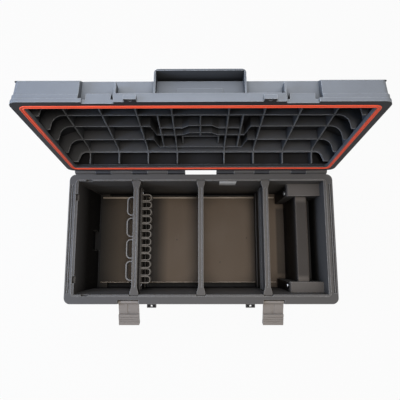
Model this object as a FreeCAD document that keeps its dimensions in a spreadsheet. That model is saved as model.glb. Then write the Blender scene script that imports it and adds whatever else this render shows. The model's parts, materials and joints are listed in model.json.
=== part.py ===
import FreeCAD, Part
import Sketcher
import os

# Wheeled storage box: a moulded tub with a hinged lid, two fold-down latches, three lift-out
# dividers, two wheels on one axle at the right end and a bail handle at the left end.
# Millimetres. X runs along the box with the wheels at +X, Y runs to the hinge side, Z is up.
# The origin is on the ground under the middle of the tub, which stands on its skid rails.
# The lid and the latches are drawn open.

SIZES = {
    # tub
    "tub_length": 790,
    "tub_width": 380,
    "inner_depth": 221,
    "floor_thickness": 4,
    "wall": 3.5,
    "end_draft": 8.5,
    "side_draft": 4,
    "gutter_front_width": 16,
    "gutter_rear_width": 9,
    "gutter_depth": 20,
    "wall_step": 164,
    "skid_height": 22,
    "skid_width": 24,
    "skid_end_gap": 30,
    "side_rib": 4,
    "side_rib_depth": 9,
    "side_rib_foot": 1.5,
    "side_rib_end_gap": 67,
    "side_rib_low": 60,
    # tub rim
    "rim_height": 18,
    "rim_plate": 4,
    "rim_skirt": 4,
    "rim_corner": 18,
    "rim_end_width": 27,
    "rim_front_width": 26.5,
    "rim_rear_width": 19.5,
    "lip_width": 2.5,
    "lip_height": 1.2,
    "rim_groove_width": 3,
    "rim_groove_depth": 1.5,
    "rim_groove_inset": 4,
    "rim_groove_corner_gap": 30,
    # notches in the rim for a hanging tray
    "notch_length": 20,
    "notch_depth": 6,
    "notch_height": 9,
    "notch_end_offset": 32,
    "notch_side_inset": 69,
    # wheel wells, the ridge between them and the raised floor over the axle
    "well_depth": 60,
    "wheel_well_gap": 6,
    "wheel_top_gap": 43.5,
    "well_edge": 8,
    "ridge_drop": 55,
    "ridge_start": 75,
    "ridge_width": 38,
    "ridge_edge": 5,
    "axle_roof_gap": 8.5,
    "axle_wall": 11,
    # foot pocket in the left wall
    "foot_width": 65,
    "foot_height": 68,
    "foot_depth": 14,
    # dividers
    "divider_well_gap": 70,
    "divider_thickness": 4,
    "divider_drop": 3,
    "divider_bar_width": 15.5,
    "divider_bar_height": 10,
    "divider_end_width": 24.5,
    "divider_end_length": 8,
    "divider_end_height": 36,
    "divider_taper_length": 16,
    "divider_groove_width": 5,
    "divider_groove_depth": 1.2,
    "divider_rail_height": 3.5,
    "divider_rail_reach": 4,
    "divider_rail_gap": 1,
    "divider_foot_width": 10,
    "divider_foot_height": 28,
    "divider_reach": 2.7,
    "divider_wall_gap": 1.5,
    "slot_depth": 5.5,
    "slot_side_gap": 1,
    "slot_backing": 3.5,
    "slot_floor_gap": 4,
    # loop strips on the left divider
    "holder_drop": 84,
    "holder_height": 25,
    "holder_plate": 3.5,
    "holder_end_gap": 15,
    "holder_tab": 11,
    "bit_gap": 1.5,
    "bit_reach": 34,
    "bit_flat": 1.5,
    "bit_wall": 2.5,
    "tool_end_gap": 5,
    "tool_gap": 7,
    "tool_reach": 40,
    "tool_flat": 16.5,
    "tool_wall": 3,
    "holder_bolt_radius": 2,
    "holder_head_radius": 4,
    "holder_head_height": 2.5,
    # hinge
    "hinge_offset": 9,
    "hinge_rise": 1.7,
    "knuckle_radius": 7.5,
    "knuckle_gap": 0.5,
    "hinge_pin_radius": 3,
    "hinge_lug_depth": 12,
    "hinge_shelf": 3,
    "hinge_shelf_gap": 0.6,
    "lid_open_angle": 98.3,
    # lid
    "lid_front_gap": 2,
    "lid_flange": 9,
    "lid_brim": 4,
    "lid_ledge": 26,
    "lid_belt": 1.5,
    "lid_belt_height": 20,
    "lid_bay_setback": 22,
    "lid_bay_margin": 8,
    "lid_wall": 3.5,
    "lid_shoulder": 54,
    "lid_height": 78,
    "lid_wall_draft": 1.5,
    "lid_top_slope": 45,
    "lid_panel_rise": 2,
    "lid_panel_inset": 18,
    "lid_panel_gap": 60,
    "lid_panel_corner": 12,
    "lid_corner": 12,
    "seal_end_inset": 15,
    "seal_front_inset": 15,
    "seal_rear_inset": 11,
    "seal_corner": 16,
    "seal_width": 9.5,
    "seal_depth": 4.5,
    # ribs inside the lid
    "rib": 3,
    "rib_free_depth": 46,
    "rib_wall_height": 9,
    "rib_lean": 7,
    "rib_round": 24,
    "rib_start": 68,
    "rib_end_gap": 69,
    # frame of bent ribs round the middle of the lid
    "frame_half": 104,
    "frame_jog": 24,
    "frame_dip": 48,
    "frame_hat_half": 30,
    "frame_hat_slope": 17,
    "frame_hat_rise": 13,
    "frame_gap": 39,
    "frame_box_half": 50,
    "frame_box_drop": 10,
    # lid front: grip bar, hand recess, fins, catches
    "grip_length": 352,
    "grip_height": 20,
    "grip_depth": 6,
    "hand_length": 192,
    "hand_wall": 4,
    "hand_corner": 9,
    "hand_setback": 58,
    "hand_panel_length": 96,
    "hand_panel_depth": 0.8,
    "fin_height": 46,
    "fin": 4,
    "catch_setback": 6,
    "catch_height": 23,
    "catch_depth": 12,
    "catch_side_gap": 3.5,
    "lock_tab_offset": 68,
    "lock_tab_width": 26,
    "lock_tab_depth": 10,
    "lock_tab_height": 10,
    "lock_tab_drop": 2,
    "lock_hole_radius": 3,
    # latches
    "latch_inset": 185,
    "latch_width": 59,
    "latch_side_gap": 0.75,
    "latch_lug": 8.5,
    "latch_drop": 12,
    "latch_barrel_radius": 5.5,
    "latch_pin_radius": 2,
    "latch_pin_inset": 2,
    "latch_plate": 5,
    "latch_length": 70,
    "latch_hook_depth": 7,
    "latch_hook_gap": 1,
    "latch_lip": 3,
    "latch_lip_length": 9,
    "latch_groove_width": 8,
    "latch_groove_depth": 1.2,
    "latch_rib_pitch": 7,
    "latch_rib_groove": 2.2,
    "latch_recess_gap": 1,
    "latch_back_wall": 3.5,
    "latch_open_angle": 110,
    # wheels and axle
    "wheel_radius": 80,
    "wheel_width": 40,
    "wheel_lift": 2,
    "wheel_end_gap": 18,
    "wheel_side_gap": 4.5,
    "tyre_thickness": 17,
    "tyre_shoulder": 7,
    "tread_groove": 3,
    "tread_groove_place": 7,
    "tread_groove_depth": 2.5,
    "hub_rim": 6,
    "hub_web": 7,
    "hub_boss_radius": 17,
    "hub_hole_radius": 11,
    "hub_hole_circle": 37,
    "bush_wall": 3,
    "axle_radius": 6,
    "axle_fit": 0.05,
    "washer_radius": 13,
    "washer_thickness": 1.6,
    "axle_cap_radius": 11,
    "axle_cap_depth": 5,
    "axle_cap_end": 2,
    "running_gap": 0.3,
    "pin_fit": 0.05,
    "seat_fit": 0.02,
    # bolts in the wheel wells
    "well_bolt_offset": 11.5,
    "well_bolt_drop": 24,
    "well_bolt_radius": 3,
    "well_bolt_head_radius": 7,
    "well_bolt_head_height": 4,
    "well_nut_radius": 6,
    "well_nut_height": 5,
    # bail handle at the left end
    "handle_drop": 60,
    "handle_inset": 80,
    "handle_pad_width": 44,
    "handle_pad_height": 42,
    "handle_pad_depth": 1.5,
    "bracket_width": 40,
    "bracket_height": 38,
    "bracket_plate": 4,
    "bracket_lug": 7,
    "bracket_reach": 9,
    "bracket_lug_radius": 8,
    "bail_arm": 7.5,
    "bail_arm_width": 13,
    "bail_drop": 67,
    "bail_bar_radius": 7.5,
    "bail_grip_radius": 10,
    "bail_grip_gap": 33.7,
    "handle_pin_radius": 3,
    "handle_pin_head_radius": 5,
    "handle_pin_head": 2.3,
    "bracket_screw_side": 11.5,
    "bracket_screw_spread": 12,
    "bracket_screw_radius": 2,
    "bracket_screw_head_radius": 4,
    "bracket_screw_head": 2.5,
    "bracket_screw_bite": 5,
    # how far a cut runs past the face it opens
    "overrun": 1,
}
COUNTS = {"bits": 12, "tools": 4, "ribs_per_side": 4, "latch_grooves": 3, "hub_holes": 6,
          "side_ribs": 4}
# Ends of the hinge knuckles as shares of half the length, lid and tub in turn from the middle
HINGE_EDGE_SHARES = (0.119, 0.253, 0.405, 0.522, 0.684, 0.8, 0.957)
# Ribs across the lid as shares of its width, counted from the hinge
CROSS_RIB_SHARES = {"first": 0.146, "second": 0.32, "third": 0.519, "fourth": 0.667, "fifth": 0.833}
# An edge counts as upright when it rises by more than this share of its length
UPRIGHT_SHARE = 0.5

doc = FreeCAD.newDocument("wheeled_storage_box")
sheet = doc.addObject("Spreadsheet::Sheet", "Sizes")


class Size:
    """A size that keeps its number together with the sheet formula it comes from."""

    def __init__(self, number, formula):
        self.number = number
        self.formula = formula

    def combine(self, sign, other, number):
        return Size(number, f"({self.formula} {sign} {other.formula})")

    def __add__(self, other):
        other = as_size(other)
        return self.combine("+", other, self.number + other.number)

    def __sub__(self, other):
        other = as_size(other)
        return self.combine("-", other, self.number - other.number)

    def __mul__(self, other):
        other = as_size(other)
        return self.combine("*", other, self.number * other.number)

    def __truediv__(self, other):
        other = as_size(other)
        return self.combine("/", other, self.number / other.number)

    def __radd__(self, other):
        return as_size(other) + self

    def __rsub__(self, other):
        return as_size(other) - self

    def __rmul__(self, other):
        return as_size(other) * self

    def __neg__(self):
        return Size(-self.number, f"(0 - {self.formula})")


def as_size(value):
    return value if isinstance(value, Size) else Size(float(value), str(value))


class Sheet:
    """Each driving size by its alias."""


s = Sheet()
for row, (alias, value) in enumerate(SIZES.items(), start=1):
    sheet.set(f"A{row}", alias)
    sheet.set(f"B{row}", str(value))
    sheet.setAlias(f"B{row}", alias)
    setattr(s, alias, Size(float(value), f"Sizes.{alias}"))
doc.recompute()

NODES = []
ALONG = {
    "X": FreeCAD.Rotation(FreeCAD.Vector(0, 1, 0), 90),
    "Y": FreeCAD.Rotation(FreeCAD.Vector(1, 0, 0), -90),
    "Z": FreeCAD.Rotation(),
}
UPRIGHT = FreeCAD.Rotation(FreeCAD.Vector(1, 0, 0), 90)
X_AXIS = FreeCAD.Vector(1, 0, 0)


def bind(thing, prop, value):
    thing.setExpression(prop, as_size(value).formula)


def place(thing, at, turn=None):
    thing.Placement = FreeCAD.Placement(FreeCAD.Vector(), turn or FreeCAD.Rotation())
    for axis, value in zip("xyz", at):
        bind(thing, f"Placement.Base.{axis}", value)


def box(name, x, y, z):
    thing = doc.addObject("Part::Box", name)
    for prop, (low, high) in (("Length", x), ("Width", y), ("Height", z)):
        bind(thing, prop, as_size(high) - low)
    place(thing, (x[0], y[0], z[0]))
    return thing


def rod(name, axis, start, length, radius):
    thing = doc.addObject("Part::Cylinder", name)
    bind(thing, "Radius", radius)
    bind(thing, "Height", length)
    place(thing, start, ALONG[axis])
    return thing


def tapered(name, low_x, low_y, high_x, high_y, z):
    # A wedge is drawn along its own Y, so it is stood upright: its Z then runs along -Y.
    thing = doc.addObject("Part::Wedge", name)
    ends = {"Xmin": low_x[0], "Xmax": low_x[1], "Zmin": -low_y[1], "Zmax": -low_y[0],
            "X2min": high_x[0], "X2max": high_x[1], "Z2min": -high_y[1], "Z2max": -high_y[0],
            "Ymin": z[0], "Ymax": z[1]}
    for prop, value in ends.items():
        bind(thing, prop, value)
    thing.Placement = FreeCAD.Placement(FreeCAD.Vector(), UPRIGHT)
    return thing


def is_upright(edge):
    ends = [vertex.Point for vertex in edge.Vertexes]
    rise = abs(ends[0].z - ends[1].z)
    return rise > UPRIGHT_SHARE * edge.Length


def rounded(name, base, radius, pick=is_upright):
    doc.recompute()
    thing = doc.addObject("Part::Fillet", name)
    thing.Base = base
    r = radius.number
    thing.Edges = [(i, r, r) for i, edge in enumerate(base.Shape.Edges, start=1) if pick(edge)]
    return thing


def fused(name, things):
    if len(things) == 1:
        return things[0]
    thing = doc.addObject("Part::MultiFuse", name)
    thing.Shapes = things
    thing.Refine = True
    return thing


def cut(name, base, tools):
    thing = doc.addObject("Part::Cut", name)
    thing.Base = base
    thing.Tool = fused(f"{name}_tools", tools)
    thing.Refine = True
    return thing


def common(name, first, second):
    thing = doc.addObject("Part::MultiCommon", name)
    thing.Shapes = [first, second]
    thing.Refine = True
    return thing


def group(name, things):
    thing = doc.addObject("Part::Compound", name)
    thing.Links = things
    return thing


def node(label, thing):
    thing.Label = label
    NODES.append(thing)
    return thing


def hang(thing, at, angle):
    # Sets a piece that was drawn about its own pivot on that pivot, turned about X.
    place(thing, at, FreeCAD.Rotation(X_AXIS, angle.number))
    bind(thing, "Placement.Rotation.Angle", angle)


def outline(body, name, plane, corners):
    # A closed polygon on one of the body's origin planes, each corner tied to the sheet.
    sketch = body.newObject("Sketcher::SketchObject", name)
    support = [p for p in body.Origin.OriginFeatures if p.Role == plane][0]
    sketch.AttachmentSupport = [(support, "")]
    sketch.MapMode = "FlatFace"
    corners = [(as_size(a), as_size(b)) for a, b in corners]
    points = [FreeCAD.Vector(a.number, b.number, 0) for a, b in corners]
    for i, point in enumerate(points):
        sketch.addGeometry(Part.LineSegment(point, points[(i + 1) % len(points)]))
    for i in range(len(points)):
        sketch.addConstraint(Sketcher.Constraint("Coincident", i, 2, (i + 1) % len(points), 1))
    for i, (a, b) in enumerate(corners):
        for kind, axis, value in (("DistanceX", "x", a), ("DistanceY", "y", b)):
            made = sketch.addConstraint(Sketcher.Constraint(kind, -1, 1, i, 1, value.number))
            sketch.renameConstraint(made, f"{axis}{i}")
            sketch.setExpression(f"Constraints.{axis}{i}", value.formula)
    return sketch


def body_named(name):
    return doc.addObject("PartDesign::Body", name)


def pad(body, name, sketch, length, both_ways=True):
    feature = body.newObject("PartDesign::Pad", name)
    feature.Profile = sketch
    feature.Midplane = both_ways
    bind(feature, "Length", length)
    return feature


def turned(body, name, sketch):
    feature = body.newObject("PartDesign::Revolution", name)
    feature.Profile = sketch
    feature.ReferenceAxis = (sketch, ["V_Axis"])
    feature.Angle = 360
    return feature


def both(value):
    return (-value, value)


# Levels and edges that several pieces share
floor_top = s.skid_height + s.floor_thickness
rim_top = floor_top + s.inner_depth
rim_low = rim_top - s.rim_height
half_length = s.tub_length / 2
half_width = s.tub_width / 2
open_end = half_length - s.rim_end_width
open_front = s.rim_front_width - half_width
open_rear = half_width - s.rim_rear_width
floor_end = open_end - s.end_draft
floor_front = open_front + s.side_draft
floor_rear = open_rear - s.side_draft
hinge_y = half_width + s.hinge_offset
hinge_z = rim_top + s.hinge_rise
step_level = floor_top + s.wall_step
axle_z = s.wheel_radius + s.wheel_lift
axle_x = open_end + s.wall - s.wheel_end_gap
well_left = axle_x - s.wheel_radius - s.wheel_well_gap - s.wall
well_face = half_width - s.well_depth
well_top = axle_z + s.wheel_radius + s.wheel_top_gap + s.wall
ridge_left = open_end - s.ridge_start
ridge_top = rim_top - s.ridge_drop
pocket_floor = axle_z + s.axle_radius + s.axle_roof_gap + s.wall
wheel_inner = well_face + s.wall + s.wheel_side_gap
wheel_middle = wheel_inner + s.wheel_width / 2
wheel_outer = wheel_inner + s.wheel_width
divider_top = rim_top - s.divider_drop
divider_pitch = well_left - s.divider_well_gap
latch_place = half_length - s.latch_inset
lock_tab_place = latch_place - s.lock_tab_offset
handle_side = half_width - s.handle_inset
latch_pivot_y = s.latch_barrel_radius - half_width
latch_pivot_z = rim_top - s.latch_drop
handle_pivot_z = rim_top - s.handle_drop
pad_face = -(open_end + s.wall + s.handle_pad_depth)
plate_face = pad_face - s.bracket_plate
handle_pivot_x = plate_face - s.bracket_reach
SIDES = (("left", -1), ("right", 1))
ENDS = (("front", -1), ("rear", 1))


def span(sign, low, high):
    # The same stretch on either side of the middle.
    return (low, high) if sign > 0 else (-high, -low)


def knuckle_spans(first):
    # Every second stretch between the hinge edges, from the given one on.
    edges = [share * half_length for share in HINGE_EDGE_SHARES]
    return [(edges[i], edges[i + 1]) for i in range(first, len(edges) - 1, 2)]


LID_SPANS = knuckle_spans(0)
TUB_SPANS = knuckle_spans(1)
hinge_start = LID_SPANS[0][0]
hinge_end = TUB_SPANS[-1][1]


def ring(name, x, y, thickness, corner, z):
    outer = box(f"{name}_outer", x, y, z)
    inner = box(f"{name}_inner", (x[0] + thickness, x[1] - thickness), (y[0] + thickness, y[1] - thickness),
                (z[0] - s.overrun, z[1] + s.overrun))
    return cut(name, rounded(f"{name}_outer_round", outer, corner),
               [rounded(f"{name}_inner_round", inner, corner - thickness)])


def rim_cap():
    block = box("rim_block", both(half_length), both(half_width), (rim_low, rim_top))
    hollow = box("rim_hollow", both(half_length - s.rim_skirt), both(half_width - s.rim_skirt),
                 (rim_low - s.overrun, rim_top - s.rim_plate))
    block = rounded("rim_block_round", block, s.rim_corner)
    hollow = rounded("rim_hollow_round", hollow, s.rim_corner - s.rim_skirt)
    return cut("rim_cap", block, [hollow])


def well_blocks():
    # The wells, the ridge and the raised floor as seen from inside the tub.
    things = []
    for end, sign in ENDS:
        reach = open_rear if sign > 0 else -open_front
        block = box(f"well_{end}", (well_left, half_length), span(sign, well_face, reach), (0, well_top))
        things.append(rounded(f"well_{end}_round", block, s.well_edge, is_well_edge))
    ridge = box("ridge", (ridge_left, ridge_left + s.ridge_width), both(half_width), (0, ridge_top))
    things.append(rounded("ridge_round", ridge, s.ridge_edge, is_ridge_edge))
    things.append(box("axle_floor", (ridge_left, half_length), both(half_width), (0, pocket_floor)))
    return things


def is_well_edge(edge):
    # The upper edge at the left of a well.
    ends = [vertex.Point for vertex in edge.Vertexes]
    high = all(abs(p.z - well_top.number) < s.overrun.number for p in ends)
    return high and all(abs(p.x - well_left.number) < s.overrun.number for p in ends)


def is_ridge_edge(edge):
    ends = [vertex.Point for vertex in edge.Vertexes]
    high = all(abs(p.z - ridge_top.number) < s.overrun.number for p in ends)
    return high and abs(ends[0].x - ends[1].x) < s.overrun.number


def well_hollows():
    # The same forms from outside, one wall thickness in, open below and at the right end.
    things = []
    below = -s.overrun
    far_end = half_length + s.overrun
    for end, sign in ENDS:
        side = span(sign, well_face + s.wall, half_width + s.overrun)
        hollow = box(f"well_{end}_hollow", (well_left + s.wall, far_end), side,
                     (below, well_top - s.wall))
        things.append(hollow)
    between = both(well_face - s.axle_wall)
    things.append(box("ridge_hollow", (ridge_left + s.wall, ridge_left + s.ridge_width - s.wall),
                      between, (below, ridge_top - s.wall)))
    things.append(box("axle_floor_hollow", (ridge_left + s.wall, far_end), between,
                      (below, pocket_floor - s.wall)))
    things.append(rod("axle_bore", "Y", (axle_x, -half_width, axle_z), s.tub_width,
                      s.axle_radius + s.axle_fit))
    return things


def gutter_sides(margin):
    # The channels along the feet of the front and rear walls, at a margin.
    return (("front", (floor_front - margin, floor_front + s.gutter_front_width + margin)),
            ("rear", (floor_rear - s.gutter_rear_width - margin, floor_rear + margin)))


def gutters():
    along = (s.skid_end_gap + s.wall - floor_end, well_left - s.skid_end_gap - s.wall)
    level = (floor_top - s.gutter_depth, floor_top + s.overrun)
    return [box(f"gutter_{name}", along, y, level) for name, y in gutter_sides(0)]


def skids():
    # Runners under the floor; the outer two carry the channels.
    along = (s.skid_end_gap - floor_end, well_left - s.skid_end_gap)
    middle = ("middle", both(s.skid_width / 2))
    return [box(f"skid_{name}", along, y, (0, floor_top)) for name, y in (middle,) + gutter_sides(s.wall)]


def side_ribs():
    things = []
    pitch = (half_length - s.side_rib_end_gap) / COUNTS["side_ribs"]
    for i in range(-COUNTS["side_ribs"], COUNTS["side_ribs"]):
        x = i * pitch
        thick = (x - s.side_rib / 2, x + s.side_rib / 2)
        for end, sign in ENDS:
            foot = floor_rear if sign > 0 else -floor_front
            root = foot + s.wall / 2
            top = open_rear if sign > 0 else -open_front
            things.append(tapered(f"side_rib_{end}_{i + COUNTS['side_ribs']}", thick,
                                  span(sign, root, foot + s.wall + s.side_rib_foot), thick,
                                  span(sign, root, top + s.wall + s.side_rib_depth),
                                  (s.side_rib_low, rim_top - s.rim_plate)))
    return things


def slot_backings():
    things = []
    low = divider_top - s.divider_end_height - s.slot_floor_gap
    half = s.divider_end_width / 2 + s.slot_side_gap + s.slot_backing
    for name, x in divider_places():
        for end, wall_y in (("front", open_front), ("rear", open_rear)):
            sign = -1 if end == "front" else 1
            back = wall_y + sign * (s.slot_depth + s.slot_backing)
            y = (back, wall_y + s.side_draft) if sign < 0 else (wall_y - s.side_draft, back)
            things.append(box(f"slot_back_{name}_{end}", (x - half, x + half), y,
                              (low - s.slot_backing, rim_top - s.rim_plate / 2)))
    return things


def slot_cuts():
    things = []
    low = divider_top - s.divider_end_height - s.slot_floor_gap
    half = s.divider_end_width / 2 + s.slot_side_gap
    for name, x in divider_places():
        for end, wall_y in (("front", open_front), ("rear", open_rear)):
            sign = -1 if end == "front" else 1
            back = wall_y + sign * s.slot_depth
            y = (back, wall_y + s.side_draft) if sign < 0 else (wall_y - s.side_draft, back)
            things.append(box(f"slot_{name}_{end}", (x - half, x + half), y,
                              (low, rim_top + s.overrun)))
    return things


def divider_places():
    return (("left", -divider_pitch), ("middle", 0), ("right", divider_pitch))


def tray_notches(name, depth, margin, z):
    # Four pockets near the left end; with a margin they are the backings behind those pockets.
    half = s.notch_length / 2 + margin
    left = -open_end
    things = []
    for end, sign in ENDS:
        side = half_width - s.notch_side_inset
        things.append(box(f"{name}_left_{end}", (left - depth, left + s.end_draft),
                          span(sign, side - half, side + half), z))
        wall_y = open_rear if sign > 0 else -open_front
        along = left + s.notch_end_offset
        things.append(box(f"{name}_{end}", (along - half, along + half),
                          span(sign, wall_y - s.side_draft, wall_y + depth), z))
    return things


def rim_grooves():
    things = []
    y = both(half_width - s.rim_groove_corner_gap)
    z = (rim_top - s.rim_groove_depth, rim_top + s.overrun)
    for side, sign in SIDES:
        for i in range(2):
            inset = s.rim_groove_inset + 2 * i * s.rim_groove_width
            x = span(sign, half_length - inset - s.rim_groove_width, half_length - inset)
            things.append(box(f"rim_groove_{side}_{i}", x, y, z))
    return things


def latch_blocks():
    things = []
    half = s.latch_width / 2 + s.latch_side_gap + s.latch_lug
    back = latch_pivot_y + s.latch_barrel_radius + s.latch_recess_gap + s.latch_back_wall
    for side, sign in SIDES:
        x = span(sign, latch_place - half, latch_place + half)
        things.append(box(f"latch_block_{side}", x, (-half_width, back), (rim_low, rim_top)))
    return things


def latch_recesses():
    things = []
    half = s.latch_width / 2 + s.latch_side_gap
    back = latch_pivot_y + s.latch_barrel_radius + s.latch_recess_gap
    pin_half = half + s.latch_lug + s.overrun
    for side, sign in SIDES:
        x = span(sign, latch_place - half, latch_place + half)
        y = (-half_width - s.overrun, back)
        things.append(box(f"latch_recess_{side}", x, y, (rim_low - s.overrun, rim_top + s.overrun)))
        start = sign * latch_place - pin_half
        things.append(rod(f"latch_pin_bore_{side}", "X", (start, latch_pivot_y, latch_pivot_z),
                          pin_half + pin_half, s.latch_pin_radius + s.seat_fit))
    return things


def lock_tab(name, x, y, z):
    # A tab with an upright hole for a padlock shackle; y runs from the rim edge outwards.
    tab = box(f"{name}_tab", (x - s.lock_tab_width / 2, x + s.lock_tab_width / 2), y, z)
    hole = rod(f"{name}_hole", "Z", (x, y[0] + s.lock_tab_depth / 2, z[0] - s.overrun),
               z[1] - z[0] + s.overrun + s.overrun, s.lock_hole_radius)
    return cut(name, tab, [hole])


def handle_pads():
    things = []
    y = handle_side
    for end, sign in ENDS:
        side = span(sign, y - s.handle_pad_width / 2, y + s.handle_pad_width / 2)
        things.append(box(f"handle_pad_{end}", (pad_face, -floor_end), side,
                          (handle_pivot_z - s.handle_pad_height / 2,
                           handle_pivot_z + s.handle_pad_height / 2)))
    return things


def screw_spots():
    # Where the bracket screws stand: two on each bracket, outside the lug.
    spots = []
    for end, sign in ENDS:
        for level, up in (("low", -1), ("high", 1)):
            spots.append((f"{end}_{level}", sign * (handle_side + s.bracket_screw_side),
                          handle_pivot_z + up * s.bracket_screw_spread))
    return spots


def tub_form(name, margin, low):
    # The tub's walls: upright to the step, then leaning out to the rim, as seen at a margin.
    lean_end = floor_end + s.end_draft * s.wall_step / s.inner_depth
    sides = (floor_front - margin, floor_rear + margin)
    lower = tapered(f"{name}_lower", both(floor_end + margin), sides, both(lean_end + margin), sides,
                    (low, step_level))
    upper = tapered(f"{name}_upper", both(lean_end + margin), sides, both(open_end + margin),
                    (open_front - margin, open_rear + margin), (step_level, rim_top))
    return fused(name, [lower, upper])


def well_bolt_places():
    return [(end, sign * (well_face + s.well_bolt_offset)) for end, sign in ENDS]


def base_tub():
    outer = tub_form("tub_outer", s.wall, s.skid_height)
    cavity = cut("tub_cavity", tub_form("tub_inner", 0, floor_top), well_blocks())
    foot = box("foot_boss", (-floor_end - s.wall - s.foot_depth, -floor_end),
               both(s.foot_width / 2 + s.wall), (s.skid_height, floor_top + s.foot_height + s.wall))
    aside = (s.seal_width - s.lip_width) / 2
    lip = ring("rim_lip", both(half_length - s.seal_end_inset - aside),
               (s.lid_front_gap + s.seal_front_inset + aside - half_width,
                half_width - s.seal_rear_inset - aside),
               s.lip_width, s.seal_corner - aside, (rim_top - s.rim_plate / 2, rim_top + s.lip_height))
    shelf_top = hinge_z - s.knuckle_radius - s.hinge_shelf_gap
    knuckles = []
    for side, sign in SIDES:
        for i, (low, high) in enumerate(TUB_SPANS):
            x = span(sign, low + s.knuckle_gap / 2, high - s.knuckle_gap / 2)
            knuckles.append(rod(f"tub_knuckle_{side}_{i}", "X", (x[0], hinge_y, hinge_z), x[1] - x[0],
                                s.knuckle_radius))
            knuckles.append(box(f"tub_lug_{side}_{i}", x, (half_width - s.rim_skirt, hinge_y),
                                (shelf_top - s.hinge_shelf, rim_top)))
        knuckles.append(box(f"hinge_shelf_{side}", span(sign, hinge_start, hinge_end),
                            (half_width - s.rim_skirt, hinge_y), (shelf_top - s.hinge_shelf, shelf_top)))
    notch_low = rim_top - s.notch_height
    backings = tray_notches("notch_back", s.notch_depth + s.wall, s.wall,
                            (notch_low - s.wall, rim_top - s.rim_plate / 2))
    solid = fused("tub_solid", [outer, rim_cap(), foot] + handle_pads() + slot_backings() + backings
                  + latch_blocks() + side_ribs())
    hollow = cut("tub_hollow", solid, [cavity] + well_hollows())
    tabs = []
    for side, sign in SIDES:
        tabs.append(lock_tab(f"tub_lock_{side}", sign * lock_tab_place,
                             (-half_width - s.lock_tab_depth, -half_width),
                             (rim_top - s.lock_tab_drop - s.lock_tab_height, rim_top - s.lock_tab_drop)))
    shell = fused("tub_shell", [hollow, lip] + knuckles + skids() + tabs)
    foot_space = box("foot_space", (-floor_end - s.foot_depth, s.wall - floor_end), both(s.foot_width / 2),
                     (floor_top, floor_top + s.foot_height))
    notches = tray_notches("notch", s.notch_depth, 0, (notch_low, rim_top + s.overrun))
    cuts = [foot_space] + gutters() + slot_cuts() + notches + rim_grooves() + latch_recesses()
    for side, sign in SIDES:
        x = span(sign, hinge_start, hinge_end + s.overrun)
        cuts.append(rod(f"tub_hinge_bore_{side}", "X", (x[0], hinge_y, hinge_z), x[1] - x[0],
                        s.hinge_pin_radius + s.seat_fit))
    for name, y, z in screw_spots():
        cuts.append(rod(f"bracket_bore_{name}", "X", (pad_face - s.overrun, y, z),
                        s.bracket_screw_bite + s.overrun, s.bracket_screw_radius + s.seat_fit))
    for end, y in well_bolt_places():
        cuts.append(rod(f"well_bolt_bore_{end}", "X", (well_left - s.overrun, y, well_top - s.well_bolt_drop),
                        s.wall + s.overrun + s.overrun, s.well_bolt_radius + s.seat_fit))
    node("base_tub", cut("tub_finished", shell, cuts))


def hinge_pins():
    for side, sign in SIDES:
        x = span(sign, hinge_start + s.knuckle_gap, hinge_end - s.knuckle_gap)
        node(f"hinge_pin_{side}", rod(f"pin_{side}", "X", (x[0], hinge_y, hinge_z), x[1] - x[0],
                                      s.hinge_pin_radius))


# The lid is drawn closed about its hinge axis: X along the box, -Y towards the front,
# Z from its rim plane up. It is then hung on the hinge, thrown back to its open angle.
lid_width = s.tub_width - s.lid_front_gap
lid_rear = -s.hinge_offset
lid_front = lid_rear - lid_width
lid_half = half_length
lid_wall_half = lid_half - s.lid_brim
lid_wall_rear = lid_rear - s.lid_brim
lid_wall_front = lid_front + s.lid_brim
shoulder_half = lid_wall_half - s.lid_wall_draft
shoulder_rear = lid_wall_rear - s.lid_wall_draft
shoulder_front = lid_wall_front + s.lid_wall_draft
top_half = shoulder_half - s.lid_top_slope
top_rear = shoulder_rear - s.lid_top_slope
top_front = shoulder_front + s.lid_top_slope
skin = s.lid_height - s.lid_wall
bay_half = latch_place + s.latch_width / 2 + s.catch_side_gap + s.lid_bay_margin
bay_wall = lid_front + s.lid_bay_setback


def lid_form(name, margin, low):
    # Walls and sloping top of the lid, drawn in by a margin.
    sides = (lid_wall_front + margin, lid_wall_rear - margin)
    shoulder = (shoulder_front + margin, shoulder_rear - margin)
    walls = tapered(f"{name}_walls", both(lid_wall_half - margin), sides, both(shoulder_half - margin),
                    shoulder, (low, s.lid_shoulder))
    top = tapered(f"{name}_top", both(shoulder_half - margin), shoulder, both(top_half - margin),
                  (top_front + margin, top_rear - margin), (s.lid_shoulder, s.lid_height - margin))
    walls = rounded(f"{name}_walls_round", walls, s.lid_corner - margin)
    return fused(name, [walls, rounded(f"{name}_top_round", top, s.lid_corner - margin, is_slanted)])


def front_bay(name, margin):
    # The setback in the middle of the lid's front, between the latches.
    return box(name, both(bay_half + margin), (lid_front - s.overrun, bay_wall + margin),
               (s.lid_flange, s.lid_height + s.overrun))


def lid_cavity(name):
    hollow = cut(f"{name}_hollow", lid_form(f"{name}_form", s.lid_wall, s.lid_flange),
                 [front_bay(f"{name}_bay", s.lid_wall)])
    mouth = box(f"{name}_mouth", both(lid_half - s.lid_ledge),
                (lid_front + s.lid_ledge, lid_rear - s.lid_ledge), (-s.overrun, s.lid_flange + s.overrun))
    return fused(name, [hollow, rounded(f"{name}_mouth_round", mouth, s.lid_corner - s.lid_wall)])


def is_slanted(edge):
    ends = [vertex.Point for vertex in edge.Vertexes]
    return abs(ends[0].z - ends[1].z) > s.overrun.number


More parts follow.
